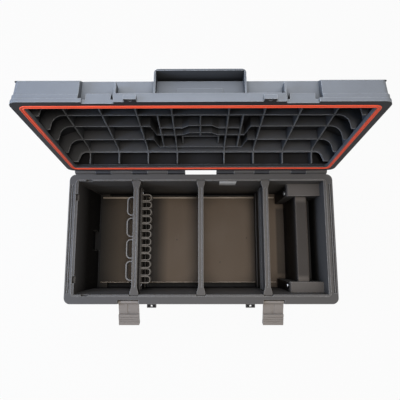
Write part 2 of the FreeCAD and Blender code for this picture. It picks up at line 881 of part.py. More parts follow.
def lid_blocks():
    flange = box("lid_flange_block", both(lid_half), (lid_front, lid_rear), (0, s.lid_flange))
    flange = rounded("lid_flange_round", flange, s.rim_corner)
    belt = box("lid_belt_block", both(lid_wall_half + s.lid_belt),
               (lid_wall_front - s.lid_belt, lid_wall_rear + s.lid_belt), (0, s.lid_belt_height))
    belt = rounded("lid_belt_round", belt, s.lid_corner + s.lid_belt)
    panels = []
    for side, sign in SIDES:
        panel = box(f"lid_panel_{side}", span(sign, s.lid_panel_gap, top_half - s.lid_panel_inset),
                    (top_front + s.lid_panel_inset, top_rear - s.lid_panel_inset),
                    (skin, s.lid_height + s.lid_panel_rise))
        panels.append(rounded(f"lid_panel_{side}_round", panel, s.lid_panel_corner))
    body = fused("lid_body", [belt, lid_form("lid_outer", 0, 0)])
    return [flange, cut("lid_bayed", body, [front_bay("lid_front_bay", 0)])] + panels


def hand_recess():
    # The carry handle: a hood over the front wall, open at the front for the fingers.
    half = s.hand_length / 2
    back = lid_front + s.hand_setback
    block = box("hand_block", both(half), (lid_front, back), (s.lid_flange, s.lid_height))
    block = rounded("hand_block_round", block, s.hand_corner, is_hand_corner)
    space = box("hand_space", both(half - s.hand_wall), (lid_front + s.hand_wall, back + s.overrun),
                (s.lid_flange, s.lid_height - s.hand_wall))
    mouth = box("hand_mouth", both(half - s.hand_wall),
                (lid_front - s.overrun, lid_front + s.hand_wall + s.overrun),
                (s.grip_height, s.lid_height - s.hand_wall))
    hood = cut("hand_hood", block, [space, mouth])
    panel = box("hand_panel", both(s.hand_panel_length / 2),
                (bay_wall - s.hand_panel_depth, bay_wall + s.lid_wall),
                (s.lid_flange, s.lid_shoulder - s.lid_flange))
    return [hood, panel]


def is_hand_corner(edge):
    ends = [vertex.Point for vertex in edge.Vertexes]
    on_top = all(abs(p.z - s.lid_height.number) < s.overrun.number for p in ends)
    return on_top and abs(ends[0].x - ends[1].x) < s.overrun.number


def lid_front_fittings():
    grip = box("lid_grip", both(s.grip_length / 2), (lid_front, lid_front + s.grip_depth), (0, s.grip_height))
    things = [grip]
    for side, sign in SIDES:
        fin = latch_place - s.latch_width / 2 - s.catch_side_gap
        things.append(box(f"lid_fin_{side}", span(sign, fin - s.fin, fin), (lid_front, bay_wall + s.lid_wall),
                          (0, s.fin_height)))
        width = s.latch_width / 2 - s.catch_side_gap
        front = lid_front + s.catch_setback
        things.append(box(f"lid_catch_{side}", span(sign, latch_place - width, latch_place + width),
                          (front, front + s.catch_depth), (0, s.catch_height)))
        things.append(lock_tab(f"lid_lock_{side}", sign * lock_tab_place,
                               (lid_front - s.lock_tab_depth, lid_front), (0, s.lock_tab_height)))
    return things


def lid_shell():
    knuckles = []
    cuts = [lid_cavity("lid_space"), seal_ring("seal_groove", s.seal_depth, -s.overrun)]
    for side, sign in SIDES:
        for i, (low, high) in enumerate(LID_SPANS):
            x = span(sign, low + s.knuckle_gap / 2, high - s.knuckle_gap / 2)
            knuckles.append(rod(f"lid_knuckle_{side}_{i}", "X", (x[0], 0, 0), x[1] - x[0], s.knuckle_radius))
            knuckles.append(box(f"lid_lug_{side}_{i}", x, (-s.hinge_lug_depth, 0), (0, s.knuckle_radius)))
        x = span(sign, hinge_start - s.overrun, hinge_end)
        cuts.append(rod(f"lid_hinge_bore_{side}", "X", (x[0], 0, 0), x[1] - x[0],
                        s.hinge_pin_radius + s.pin_fit))
        half = s.latch_width / 2 + s.catch_side_gap
        cuts.append(box(f"lid_latch_gap_{side}", span(sign, latch_place - half, latch_place + half),
                        (lid_front - s.overrun, lid_front + s.catch_setback),
                        (-s.overrun, s.fin_height + s.overrun)))
    solid = fused("lid_solid", lid_blocks() + hand_recess() + lid_front_fittings() + knuckles)
    shell = cut("lid_moulding", solid, cuts)
    hang(shell, (0, hinge_y, hinge_z), -s.lid_open_angle)
    node("lid_shell", shell)


def seal_ring(name, depth, start):
    return ring(name, both(lid_half - s.seal_end_inset),
                (lid_front + s.seal_front_inset, lid_rear - s.seal_rear_inset), s.seal_width, s.seal_corner,
                (as_size(start), depth))


def lid_seal():
    held = group("seal_held", [seal_ring("seal", s.seal_depth, 0)])
    hang(held, (0, hinge_y, hinge_z), -s.lid_open_angle)
    node("lid_seal", held)


def bent_rib(name, path):
    # A rib that follows a path of places along the lid and distances from the hinge.
    near = [(x, -(v - s.rib / 2)) for x, v in path]
    far = [(x, -(v + s.rib / 2)) for x, v in reversed(path)]
    body = body_named(f"{name}_body")
    pad(body, name, outline(body, f"{name}_outline", "XY_Plane", near + far), s.lid_height, False)
    return body


def mirrored_path(half):
    # The half path on the right, with its mirror image before it.
    return [(-x, v) for x, v in reversed(half)] + half


def cross_rib(name):
    return CROSS_RIB_SHARES[name] * lid_width


def frame_ribs():
    third_v = cross_rib("third")
    second_v = cross_rib("second")
    upper = third_v - s.frame_dip
    lower = second_v - s.frame_dip
    hat = upper + s.frame_gap
    hat_end = s.frame_hat_half + s.frame_hat_slope
    jog_in = s.frame_half + s.frame_jog / 2
    jog_out = s.frame_half + s.frame_jog
    third = [(s.frame_hat_half, upper + s.frame_hat_rise), (hat_end, upper), (jog_in, upper),
             (jog_out, third_v), (lid_half, third_v)]
    second = [(jog_in, lower), (jog_out, second_v), (lid_half, second_v)]
    middle = [(s.frame_hat_half, hat + s.frame_hat_rise), (hat_end, hat), (s.frame_half, hat)]
    ribs = [bent_rib("third_rib", mirrored_path(third)), bent_rib("second_rib", mirrored_path(second)),
            bent_rib("hat_rib", mirrored_path(middle))]
    depth = (0, s.lid_height)
    half = s.rib / 2
    box_edge = lower + s.frame_dip
    low_depth = (s.rib_free_depth + s.frame_box_drop, s.lid_height)
    ribs.append(box("hat_stem", both(half), (-cross_rib("fourth"), -upper), depth))
    ribs.append(box("frame_box_face", both(s.frame_box_half), (-box_edge - half, half - box_edge), low_depth))
    for side, sign in SIDES:
        x = span(sign, s.frame_half - half, s.frame_half + half)
        ribs.append(box(f"frame_end_{side}", x, (-cross_rib("fourth"), -lower), depth))
        x = span(sign, s.frame_box_half - half, s.frame_box_half + half)
        ribs.append(box(f"frame_box_end_{side}", x, (-box_edge, -lower), low_depth))
    return ribs


def lid_rib_grid():
    plates = frame_ribs()
    reach = both(lid_half)
    depth = (0, s.lid_height)
    across = (lid_front, lid_rear)
    pitch = (lid_wall_half - s.rib_start - s.rib_end_gap) / (COUNTS["ribs_per_side"] - 1)
    for i in range(COUNTS["ribs_per_side"]):
        for side, sign in SIDES:
            x = s.rib_start + i * pitch
            plates.append(box(f"rib_{side}_{i}", span(sign, x - s.rib / 2, x + s.rib / 2), across, depth))
    for name in ("first", "fourth", "fifth"):
        v = cross_rib(name)
        plates.append(box(f"cross_rib_{name}", reach, (-v - s.rib / 2, s.rib / 2 - v), depth))
    grid = common("rib_plates", fused("rib_crossed", plates), lid_cavity("rib_limit"))
    low = s.lid_ledge + s.rib_wall_height
    high = low + s.rib_lean
    clear = tapered("rib_clear", both(lid_half - low), (lid_front + low, lid_rear - low),
                    both(lid_half - high), (lid_front + high, lid_rear - high),
                    (-s.overrun, s.rib_free_depth))
    clear = rounded("rib_clear_round", clear, s.rib_round, is_free_edge)
    ribs = cut("rib_grid", grid, [clear, box("rib_rim_gap", reach, across, (-s.overrun, s.lid_flange))])
    hang(ribs, (0, hinge_y, hinge_z), -s.lid_open_angle)
    node("lid_rib_grid", ribs)


def is_free_edge(edge):
    ends = [vertex.Point for vertex in edge.Vertexes]
    flat = all(abs(p.z - s.rib_free_depth.number) < s.overrun.number for p in ends)
    return flat or is_upright(edge)


def latches():
    # Drawn closed about the pin: Z up along the plate, -Y outwards. The hook reaches over the catch.
    catch_top = hinge_z + s.catch_height - latch_pivot_z
    hook = catch_top + s.latch_hook_gap
    outer = -s.latch_barrel_radius
    inner = outer + s.latch_plate
    for side, sign in SIDES:
        x = both(s.latch_width / 2)
        start = -s.latch_width / 2
        solid = fused(f"latch_solid_{side}", [
            rod(f"latch_barrel_{side}", "X", (start, 0, 0), s.latch_width, s.latch_barrel_radius),
            box(f"latch_plate_{side}", x, (outer, inner), (0, s.latch_length)),
            box(f"latch_hook_{side}", x, (outer, s.latch_hook_depth), (hook, s.latch_length)),
            box(f"latch_lip_{side}", x, (outer - s.latch_lip, inner),
                (s.latch_length - s.latch_lip_length, s.latch_length))])
        cuts = [rod(f"latch_bore_{side}", "X", (start - s.overrun, 0, 0),
                    s.latch_width + s.overrun + s.overrun, s.latch_pin_radius + s.pin_fit),
                box(f"latch_groove_{side}", both(s.latch_groove_width / 2),
                    (inner - s.latch_groove_depth, inner + s.overrun), (s.latch_barrel_radius, hook))]
        for i in range(COUNTS["latch_grooves"]):
            z = hook + (i + 1) * s.latch_rib_pitch
            cuts.append(box(f"latch_rib_groove_{side}_{i}", both(s.latch_width),
                            (s.latch_hook_depth - s.latch_groove_depth, s.latch_hook_depth + s.overrun),
                            (z, z + s.latch_rib_groove)))
        latch = cut(f"latch_cut_{side}", solid, cuts)
        hang(latch, (sign * latch_place, latch_pivot_y, latch_pivot_z), s.latch_open_angle)
        node(f"latch_{side}", latch)
        half = s.latch_width / 2 + s.latch_side_gap + s.latch_lug - s.latch_pin_inset
        node(f"latch_pin_{side}", rod(f"latch_pin_rod_{side}", "X",
                                      (sign * latch_place - half, latch_pivot_y, latch_pivot_z),
                                      half + half, s.latch_pin_radius))


def holder_level():
    top = rim_top - s.holder_drop
    return (top - s.holder_height, top)


holder_middle = (open_front + open_rear) / 2
holder_half = (open_rear - open_front) / 2 - s.holder_end_gap
loops_half = holder_half - s.holder_tab


def holder_bolt_places():
    reach = holder_half - s.holder_tab / 2
    return (("front", holder_middle - reach), ("rear", holder_middle + reach))


def holder_bores(name, x, radius):
    low, high = holder_level()
    return [rod(f"{name}_bore_{end}", "X", (x[0] - s.overrun, y, (low + high) / 2),
                x[1] - x[0] + s.overrun + s.overrun, radius) for end, y in holder_bolt_places()]


def divider(name, x):
    body = body_named(f"divider_bar_{name}")
    bar = s.divider_bar_width / 2
    end = s.divider_end_width / 2
    front = open_front - s.divider_reach
    rear = open_rear + s.divider_reach
    flare = s.divider_end_length
    neck = s.divider_end_length + s.divider_taper_length
    right = [(end, front), (end, front + flare), (bar, front + neck), (bar, rear - neck), (end, rear - flare),
             (end, rear)]
    left = [(-a, b) for a, b in reversed(right)]
    sketch = outline(body, f"divider_bar_outline_{name}", "XY_Plane", right + left)
    bind(sketch, "AttachmentOffset.Base.z", divider_top - s.divider_bar_height)
    pad(body, f"divider_bar_pad_{name}", sketch, s.divider_bar_height, False)
    bind(body, "Placement.Base.x", x)
    low = floor_top + s.running_gap
    thick = (x - s.divider_thickness / 2, x + s.divider_thickness / 2)
    gap = s.divider_wall_gap
    across = (floor_front + gap, floor_rear - gap)
    plates = [box(f"divider_lower_{name}", thick, across, (low, step_level)),
              tapered(f"divider_upper_{name}", thick, across, thick, (open_front + gap, open_rear - gap),
                      (step_level, divider_top)),
              box(f"divider_foot_{name}", (x - s.divider_foot_width / 2, x + s.divider_foot_width / 2),
                  across, (low, low + s.divider_foot_height))]
    rail = s.divider_thickness / 2 + s.divider_rail_reach
    holder_low, holder_high = holder_level()
    for level, rail_low in (("low", holder_low - s.divider_rail_gap - s.divider_rail_height),
                            ("high", holder_high + s.divider_rail_gap)):
        plates.append(box(f"divider_rail_{level}_{name}", (x - rail, x + rail), across,
                          (rail_low, rail_low + s.divider_rail_height)))
    ends = []
    for side, y in (("front", (front, front + flare)), ("rear", (rear - flare, rear))):
        ends.append(box(f"divider_end_{name}_{side}", (x - end, x + end), y,
                        (divider_top - s.divider_end_height, divider_top)))
    solid = fused(f"divider_solid_{name}", [body] + plates + ends)
    cuts = [box(f"divider_groove_{name}", (x - s.divider_groove_width / 2, x + s.divider_groove_width / 2),
                (front + neck, rear - neck), (divider_top - s.divider_groove_depth, divider_top + s.overrun))]
    if name == "left":
        cuts += holder_bores("divider", thick, s.holder_bolt_radius + s.seat_fit)
    node(f"divider_{name}", cut(f"divider_cut_{name}", solid, cuts))


def loop_strip(label, sign, count, end_gap, gap, reach, flat, wall):
    # Upright loops on a plate, for tool shafts; sign says which face of the divider carries it.
    pitch = 2 * (loops_half - end_gap) / count
    width = pitch - gap
    corner = width / 2 - flat
    half = s.divider_thickness / 2
    base = -divider_pitch

    def out(low, high):
        face = base + sign * half
        return (face + low, face + high) if sign > 0 else (face - high, face - low)

    level = holder_level()
    low, high = level
    through = (low - s.overrun, high + s.overrun)
    plate_x = out(0, s.holder_plate)
    solids = [box(f"{label}_plate", plate_x, (holder_middle - holder_half, holder_middle + holder_half),
                  level)]
    spaces = []
    far = (base + sign * (half + reach)).number
    near = (base + sign * (half + reach - wall)).number
    for i in range(count):
        y = holder_middle + (i - (count - 1) / 2) * pitch
        loop = box(f"{label}_loop_{i}", out(0, reach), (y - width / 2, y + width / 2), level)
        solids.append(rounded(f"{label}_loop_round_{i}", loop, corner, upright_at(far)))
        space = box(f"{label}_space_{i}", out(s.holder_plate, reach - wall),
                    (y - width / 2 + wall, y + width / 2 - wall), through)
        spaces.append(rounded(f"{label}_space_round_{i}", space, corner - wall, upright_at(near)))
    bores = holder_bores(label, plate_x, s.holder_bolt_radius + s.seat_fit)
    node(label, cut(f"{label}_cut", fused(f"{label}_solid", solids), spaces + bores))


def upright_at(x):
    def pick(edge):
        return is_upright(edge) and all(abs(v.Point.x - x) < s.overrun.number for v in edge.Vertexes)
    return pick


def holder_bolts():
    low, high = holder_level()
    z = (low + high) / 2
    half = s.divider_thickness / 2 + s.holder_plate
    start = -divider_pitch - half
    bolts = []
    for end, y in holder_bolt_places():
        bolts.append(fused(f"holder_bolt_{end}", [
            rod(f"holder_shank_{end}", "X", (start, y, z), half + half, s.holder_bolt_radius),
            rod(f"holder_head_{end}", "X", (start + half + half, y, z), s.holder_head_height,
                s.holder_head_radius),
            rod(f"holder_nut_{end}", "X", (start - s.holder_head_height, y, z), s.holder_head_height,
                s.holder_head_radius)]))
    node("holder_bolts", group("holder_bolt_pair", bolts))


bush_radius = s.axle_radius + s.axle_fit + s.bush_wall
hub_radius = s.wheel_radius - s.tyre_thickness


def tyre(end, at):
    half = s.wheel_width / 2
    inner = s.wheel_radius - s.tyre_thickness
    outer = s.wheel_radius
    floor = outer - s.tread_groove_depth
    upper = [(outer, half - s.tyre_shoulder), (outer - s.tyre_shoulder, half), (inner, half)]
    tread = []
    for place_y in (-s.tread_groove_place, s.tread_groove_place):
        low = place_y - s.tread_groove / 2
        high = place_y + s.tread_groove / 2
        tread += [(outer, low), (floor, low), (floor, high), (outer, high)]
    lower = [(a, -b) for a, b in reversed(upper)]
    body = body_named(f"tyre_body_{end}")
    turned(body, f"tyre_turn_{end}", outline(body, f"tyre_outline_{end}", "XY_Plane", lower + tread + upper))
    place(body, at)
    node(f"tyre_{end}", body)


def wheel_hub(end, at):
    half = s.wheel_width / 2
    web = s.hub_web / 2
    rim = hub_radius - s.hub_rim
    upper = [(hub_radius, half), (rim, half), (rim, web), (s.hub_boss_radius, web),
             (s.hub_boss_radius, half), (bush_radius, half)]
    lower = [(a, -b) for a, b in reversed(upper)]
    body = body_named(f"hub_body_{end}")
    turned(body, f"hub_turn_{end}", outline(body, f"hub_outline_{end}", "XY_Plane", lower + upper))
    holes = []
    for i in range(COUNTS["hub_holes"]):
        spoke = FreeCAD.Rotation(FreeCAD.Vector(0, 1, 0), 360 * i / COUNTS["hub_holes"])
        share = spoke.multVec(FreeCAD.Vector(1, 0, 0))
        holes.append(rod(f"hub_hole_{end}_{i}", "Y",
                         (s.hub_hole_circle * share.x, -half, s.hub_hole_circle * share.z),
                         s.wheel_width, s.hub_hole_radius))
    hub = cut(f"hub_cut_{end}", body, holes)
    place(hub, at)
    node(f"wheel_hub_{end}", hub)


def sleeve(name, start, length, outer, inner):
    # A plain ring about the axle, along Y.
    x, y, z = start
    return cut(name, rod(f"{name}_outer", "Y", start, length, outer),
               [rod(f"{name}_inner", "Y", (x, y - s.overrun, z), length + s.overrun + s.overrun, inner)])


def wheels():
    bore = s.axle_radius + s.axle_fit
    for end, sign in ENDS:
        at = (axle_x, sign * wheel_middle, axle_z)
        tyre(end, at)
        wheel_hub(end, at)
        start = (axle_x, sign * wheel_middle - s.wheel_width / 2, axle_z)
        node(f"wheel_bush_{end}", sleeve(f"bush_{end}", start, s.wheel_width, bush_radius, bore))


def axle_set():
    gap = s.running_gap
    bore = s.axle_radius + s.axle_fit
    outer_washer = wheel_outer + gap
    cap_start = outer_washer + s.washer_thickness + gap
    axle_end = cap_start + s.axle_cap_depth - s.axle_cap_end
    node("axle", rod("axle_rod", "Y", (axle_x, -axle_end, axle_z), axle_end + axle_end, s.axle_radius))
    washers = []
    caps = []
    inner_thickness = s.wheel_side_gap - gap - gap
    for end, sign in ENDS:
        for name, low, thick in (("inner", well_face + s.wall + gap, inner_thickness),
                                 ("outer", outer_washer, s.washer_thickness)):
            y = span(sign, low, low + thick)
            washers.append(sleeve(f"washer_{name}_{end}", (axle_x, y[0], axle_z), thick, s.washer_radius,
                                  bore))
        y = span(sign, cap_start, cap_start + s.axle_cap_depth)
        cap = rod(f"cap_{end}", "Y", (axle_x, y[0], axle_z), s.axle_cap_depth, s.axle_cap_radius)
        socket = span(sign, cap_start - s.overrun, axle_end)
        caps.append(cut(f"axle_cap_{end}", cap, [rod(f"cap_socket_{end}", "Y", (axle_x, socket[0], axle_z),
                                                     socket[1] - socket[0], s.axle_radius + s.seat_fit)]))
    node("axle_washers", group("washer_set", washers))
    node("axle_caps", group("cap_pair", caps))


def well_bolts():
    z = well_top - s.well_bolt_drop
    bolts = []
    nuts = []
    nut_x = well_left + s.wall
    for end, y in well_bolt_places():
        head_x = well_left - s.well_bolt_head_height
        head = rod(f"well_head_{end}", "X", (head_x, y, z), s.well_bolt_head_height, s.well_bolt_head_radius)
        dome = rounded(f"well_dome_{end}", head, s.well_bolt_head_height - s.overrun, is_dome_edge)
        shank = rod(f"well_shank_{end}", "X", (well_left, y, z), s.wall + s.well_nut_height,
                    s.well_bolt_radius)
        bolts.append(fused(f"well_bolt_{end}", [dome, shank]))
        nut = doc.addObject("Part::Prism", f"well_hex_{end}")
        nut.Polygon = 6
        bind(nut, "Circumradius", s.well_nut_radius)
        bind(nut, "Height", s.well_nut_height)
        place(nut, (nut_x, y, z), ALONG["X"])
        nuts.append(cut(f"well_nut_{end}", nut, [rod(f"well_nut_bore_{end}", "X", (nut_x - s.overrun, y, z),
                                                     s.well_nut_height + s.overrun + s.overrun,
                                                     s.well_bolt_radius + s.seat_fit)]))
    node("well_bolts", group("well_bolt_pair", bolts))
    node("well_nuts", group("well_nut_pair", nuts))


def is_dome_edge(edge):
    head_x = (well_left - s.well_bolt_head_height).number
    return edge.Closed and abs(edge.BoundBox.Center.x - head_x) < s.overrun.number / 2


lug_inner = handle_side - s.bracket_lug / 2
lug_outer = handle_side + s.bracket_lug / 2
arm_outer = lug_inner - s.running_gap
arm_inner = arm_outer - s.bail_arm


def handle_brackets():
    for end, sign in ENDS:
        side = span(sign, handle_side - s.bracket_width / 2, handle_side + s.bracket_width / 2)
        lug = span(sign, lug_inner, lug_outer)
        solid = fused(f"bracket_solid_{end}", [
            box(f"bracket_plate_{end}", (plate_face, pad_face), side,
                (handle_pivot_z - s.bracket_height / 2, handle_pivot_z + s.bracket_height / 2)),
            box(f"bracket_lug_{end}", (handle_pivot_x, pad_face), lug,
                (handle_pivot_z - s.bracket_lug_radius, handle_pivot_z + s.bracket_lug_radius)),
            rod(f"bracket_eye_{end}", "Y", (handle_pivot_x, lug[0], handle_pivot_z), lug[1] - lug[0],
                s.bracket_lug_radius)])
        cuts = [rod(f"bracket_pin_bore_{end}", "Y", (handle_pivot_x, lug[0] - s.overrun, handle_pivot_z),
                    s.bracket_lug + s.overrun + s.overrun, s.handle_pin_radius + s.seat_fit)]
        for name, y, z in screw_spots():
            if name.startswith(end):
                cuts.append(rod(f"bracket_hole_{name}", "X", (plate_face - s.overrun, y, z),
                                s.bracket_plate + s.overrun + s.overrun, s.bracket_screw_radius + s.seat_fit))
        node(f"handle_bracket_{end}", cut(f"bracket_cut_{end}", solid, cuts))
        pin_low = arm_inner - s.running_gap
        pin_high = lug_outer + s.running_gap
        shank = span(sign, pin_low, pin_high)
        heads = [span(sign, pin_low - s.handle_pin_head, pin_low),
                 span(sign, pin_high, pin_high + s.handle_pin_head)]
        rods = [rod(f"handle_shank_{end}", "Y", (handle_pivot_x, shank[0], handle_pivot_z),
                    shank[1] - shank[0], s.handle_pin_radius)]
        for i, head in enumerate(heads):
            rods.append(rod(f"handle_head_{end}_{i}", "Y", (handle_pivot_x, head[0], handle_pivot_z),
                            s.handle_pin_head, s.handle_pin_head_radius))
        node(f"handle_pin_{end}", fused(f"handle_pin_solid_{end}", rods))


def bracket_screws():
    screws = []
    for name, y, z in screw_spots():
        screws.append(fused(f"bracket_screw_{name}", [
            rod(f"screw_head_{name}", "X", (plate_face - s.bracket_screw_head, y, z), s.bracket_screw_head,
                s.bracket_screw_head_radius),
            rod(f"screw_shank_{name}", "X", (plate_face, y, z), s.bracket_plate + s.bracket_screw_bite,
                s.bracket_screw_radius)]))
    node("bracket_screws", group("bracket_screw_set", screws))


def pull_handle():
    # Drawn hanging from its pivot axis, which runs along Y.
    solids = [rod("bail_bar", "Y", (0, -arm_outer, -s.bail_drop), arm_outer + arm_outer, s.bail_bar_radius)]
    bores = []
    for end, sign in ENDS:
        arm = span(sign, arm_inner, arm_outer)
        solids.append(box(f"bail_arm_{end}", both(s.bail_arm_width / 2), arm, (-s.bail_drop, 0)))
        solids.append(rod(f"bail_eye_{end}", "Y", (0, arm[0], 0), s.bail_arm, s.bracket_lug_radius))
        bores.append(rod(f"bail_bore_{end}", "Y", (0, arm[0] - s.overrun, 0),
                         s.bail_arm + s.overrun + s.overrun, s.handle_pin_radius + s.pin_fit))
    bail = cut("bail_cut", fused("bail_solid", solids), bores)
    place(bail, (handle_pivot_x, 0, handle_pivot_z))
    node("pull_handle_bail", bail)
    grip_half = arm_inner - s.bail_grip_gap
    grip = sleeve("grip", (handle_pivot_x, -grip_half, handle_pivot_z - s.bail_drop), grip_half + grip_half,
                  s.bail_grip_radius, s.bail_bar_radius)
    node("pull_handle_grip", grip)


base_tub()
hinge_pins()
lid_shell()
lid_rib_grid()
lid_seal()
latches()
for place_name, place_x in divider_places():
    divider(place_name, place_x)
loop_strip("bit_holder", 1, COUNTS["bits"], 0, s.bit_gap, s.bit_reach, s.bit_flat, s.bit_wall)
loop_strip("tool_holder", -1, COUNTS["tools"], s.tool_end_gap, s.tool_gap, s.tool_reach, s.tool_flat,
           s.tool_wall)
holder_bolts()
wheels()
axle_set()
well_bolts()
handle_brackets()
bracket_screws()
pull_handle()
doc.recompute()

failed = [thing.Name for thing in doc.Objects if "Invalid" in thing.State or "Error" in thing.State]
if failed:
    raise RuntimeError(f"failed objects: {failed}")
for thing in NODES:
    if thing.Shape.isNull() or not thing.Shape.isValid():
        raise RuntimeError(f"bad shape: {thing.Label}")
os.makedirs("parts", exist_ok=True)
for thing in NODES:
    print(thing.Label, len(thing.Shape.Solids), round(thing.Shape.Volume))
    thing.Shape.exportStep(f"parts/{thing.Label}.step")
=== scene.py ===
import json
import math

import bmesh
import bpy
from mathutils import Matrix, Vector


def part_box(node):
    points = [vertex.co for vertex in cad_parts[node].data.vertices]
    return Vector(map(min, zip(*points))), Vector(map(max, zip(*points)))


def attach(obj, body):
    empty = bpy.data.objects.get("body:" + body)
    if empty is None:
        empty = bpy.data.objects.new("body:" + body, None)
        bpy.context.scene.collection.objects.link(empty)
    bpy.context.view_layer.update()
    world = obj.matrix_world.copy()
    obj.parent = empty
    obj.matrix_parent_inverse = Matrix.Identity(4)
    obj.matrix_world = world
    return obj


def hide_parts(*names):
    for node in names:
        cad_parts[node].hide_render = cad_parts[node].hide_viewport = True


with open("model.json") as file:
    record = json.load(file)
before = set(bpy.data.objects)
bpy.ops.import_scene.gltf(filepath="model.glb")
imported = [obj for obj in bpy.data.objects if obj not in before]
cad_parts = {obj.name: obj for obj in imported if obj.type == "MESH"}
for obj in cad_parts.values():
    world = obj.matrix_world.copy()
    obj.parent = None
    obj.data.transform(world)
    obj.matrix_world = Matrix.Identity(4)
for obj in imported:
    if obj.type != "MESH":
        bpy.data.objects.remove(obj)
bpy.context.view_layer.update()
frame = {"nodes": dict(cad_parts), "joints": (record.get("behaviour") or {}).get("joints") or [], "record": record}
nodes = frame["nodes"]
joints = {joint["name"]: joint for joint in frame["joints"]}
mmPerMetre = 1000
print("frame loaded:", len(nodes), "CAD nodes")


# small helpers

def hexToLinear(hexText):
    values = []
    for start in (1, 3, 5):
        channel = int(hexText[start:start + 2], 16) / 255
        values.append(channel / 12.92 if channel <= 0.04045 else ((channel + 0.055) / 1.055) ** 2.4)
    return (*values, 1.0)


def addNode(tree, kind, settings=None, links=None):
    # names in lower case are the node's own properties, the rest are its inputs
    made = tree.nodes.new(kind)
    for name, value in (settings or {}).items():
        if isinstance(name, str) and name[0].islower():
            setattr(made, name, value)
        else:
            made.inputs[name].default_value = value
    for name, source in (links or {}).items():
        tree.links.new(source, made.inputs[name])
    return made


def newMaterial(name):
    material = bpy.data.materials.new(name)
    material.use_nodes = True
    tree = material.node_tree
    tree.nodes.clear()
    return material, tree


# camera: fitted to the rim, opening, floor and lid corners of the photograph

cameraSettings = {
    "lensMm": 33.632, "frameMm": 36,
    "place": (0.00332, -0.05625, 1.34992), "clipNear": 0.01,     # m
    "pitch": 8.6728, "yaw": -0.1026, "roll": 0.3099,             # degrees from straight down
}


def addCamera(settings):
    data = bpy.data.cameras.new("camera")
    data.sensor_width = settings["frameMm"]
    data.lens = settings["lensMm"]
    data.clip_start = settings["clipNear"]
    camera = bpy.data.objects.new("camera", data)
    bpy.context.scene.collection.objects.link(camera)
    turn = (Matrix.Rotation(math.radians(settings["yaw"]), 4, "Z")
            @ Matrix.Rotation(math.radians(settings["pitch"]), 4, "X")
            @ Matrix.Rotation(math.radians(settings["roll"]), 4, "Y"))
    camera.matrix_world = Matrix.Translation(settings["place"]) @ turn
    bpy.context.scene.camera = camera


addCamera(cameraSettings)
print("camera placed")


# studio: pale floor, even world light, a warm lamp overhead, a cool window at the left and a small
# lamp behind for the lid's front

studio = {
    "floorHalf": 20.0,
    "floorColour": "#9C9B99",
    "floorGlow": 0.95,                         # share of plain white the camera sees on the floor
    "worldStrength": 0.30,
    "lampAim": (0, 0, 0.2),
    "lamps": {
        "overhead": {"size": 0.6, "place": (0.22, -0.15, 2.40), "power": 26.0, "colour": "#FFF6EC"},
        "window": {"size": 0.9, "place": (-1.30, 0.00, 1.25), "power": 21.0, "colour": "#C4DAFF"},
        "behind": {"size": 0.5, "place": (-0.05, 0.55, 1.35), "power": 8.0, "colour": "#EEF4FF"},
    },
}


def addLamp(name, settings, aim):
    data = bpy.data.lights.new(name, "AREA")
    data.shape = "DISK"
    data.size = settings["size"]
    data.energy = settings["power"]
    data.color = hexToLinear(settings["colour"])[:3]
    lamp = bpy.data.objects.new(name, data)
    bpy.context.scene.collection.objects.link(lamp)
    lamp.location = settings["place"]
    lamp.rotation_euler = (Vector(aim) - Vector(settings["place"])).to_track_quat("-Z", "Y").to_euler()


def whiteToEye(tree):
    # 1 for the rays that show the background: straight, mirrored or through glass
    path = addNode(tree, "ShaderNodeLightPath")
    mirrored = addNode(tree, "ShaderNodeMath", {"operation": "MAXIMUM"},
                       {0: path.outputs["Is Glossy Ray"], 1: path.outputs["Is Transmission Ray"]})
    return addNode(tree, "ShaderNodeMath", {"operation": "MAXIMUM"},
                   {0: path.outputs["Is Camera Ray"], 1: mirrored.outputs[0]}).outputs[0]


def addWorld(settings):
    world = bpy.data.worlds.new("studio")
    world.use_nodes = True
    tree = world.node_tree
    tree.nodes.clear()
    strength = addNode(tree, "ShaderNodeMapRange", {"To Min": settings["worldStrength"], "To Max": 1.0},
                       {"Value": whiteToEye(tree)})
    light = addNode(tree, "ShaderNodeBackground", {"Color": (1, 1, 1, 1)}, {"Strength": strength.outputs[0]})
    addNode(tree, "ShaderNodeOutputWorld", {}, {"Surface": light.outputs[0]})
    bpy.context.scene.world = world


def addFloor(settings):
    half = settings["floorHalf"]
    mesh = bpy.data.meshes.new("floor")
    corners = [(-half, -half, 0), (half, -half, 0), (half, half, 0), (-half, half, 0)]
    mesh.from_pydata(corners, [], [(0, 1, 2, 3)])
    floor = bpy.data.objects.new("floor", mesh)
    bpy.context.scene.collection.objects.link(floor)
    material, tree = newMaterial("pale matt floor")
    matt = addNode(tree, "ShaderNodeBsdfDiffuse", {"Color": hexToLinear(settings["floorColour"])})
    glow = addNode(tree, "ShaderNodeEmission", {"Color": (1, 1, 1, 1), "Strength": 1.0})
    # the camera sees mostly white, and the rest of the mix keeps the object's shadow
    share = addNode(tree, "ShaderNodeMath", {"operation": "MULTIPLY", 1: settings["floorGlow"]},
                    {0: whiteToEye(tree)})
    mixed = addNode(tree, "ShaderNodeMixShader", {},
                    {0: share.outputs[0], 1: matt.outputs[0], 2: glow.outputs[0]})
    addNode(tree, "ShaderNodeOutputMaterial", {}, {"Surface": mixed.outputs[0]})
    mesh.materials.append(material)


bpy.context.scene.view_settings.view_transform = "Standard"
addWorld(studio)
for lampName, lampSettings in studio["lamps"].items():
    addLamp(lampName, lampSettings, studio["lampAim"])
addFloor(studio)
print("studio lit")
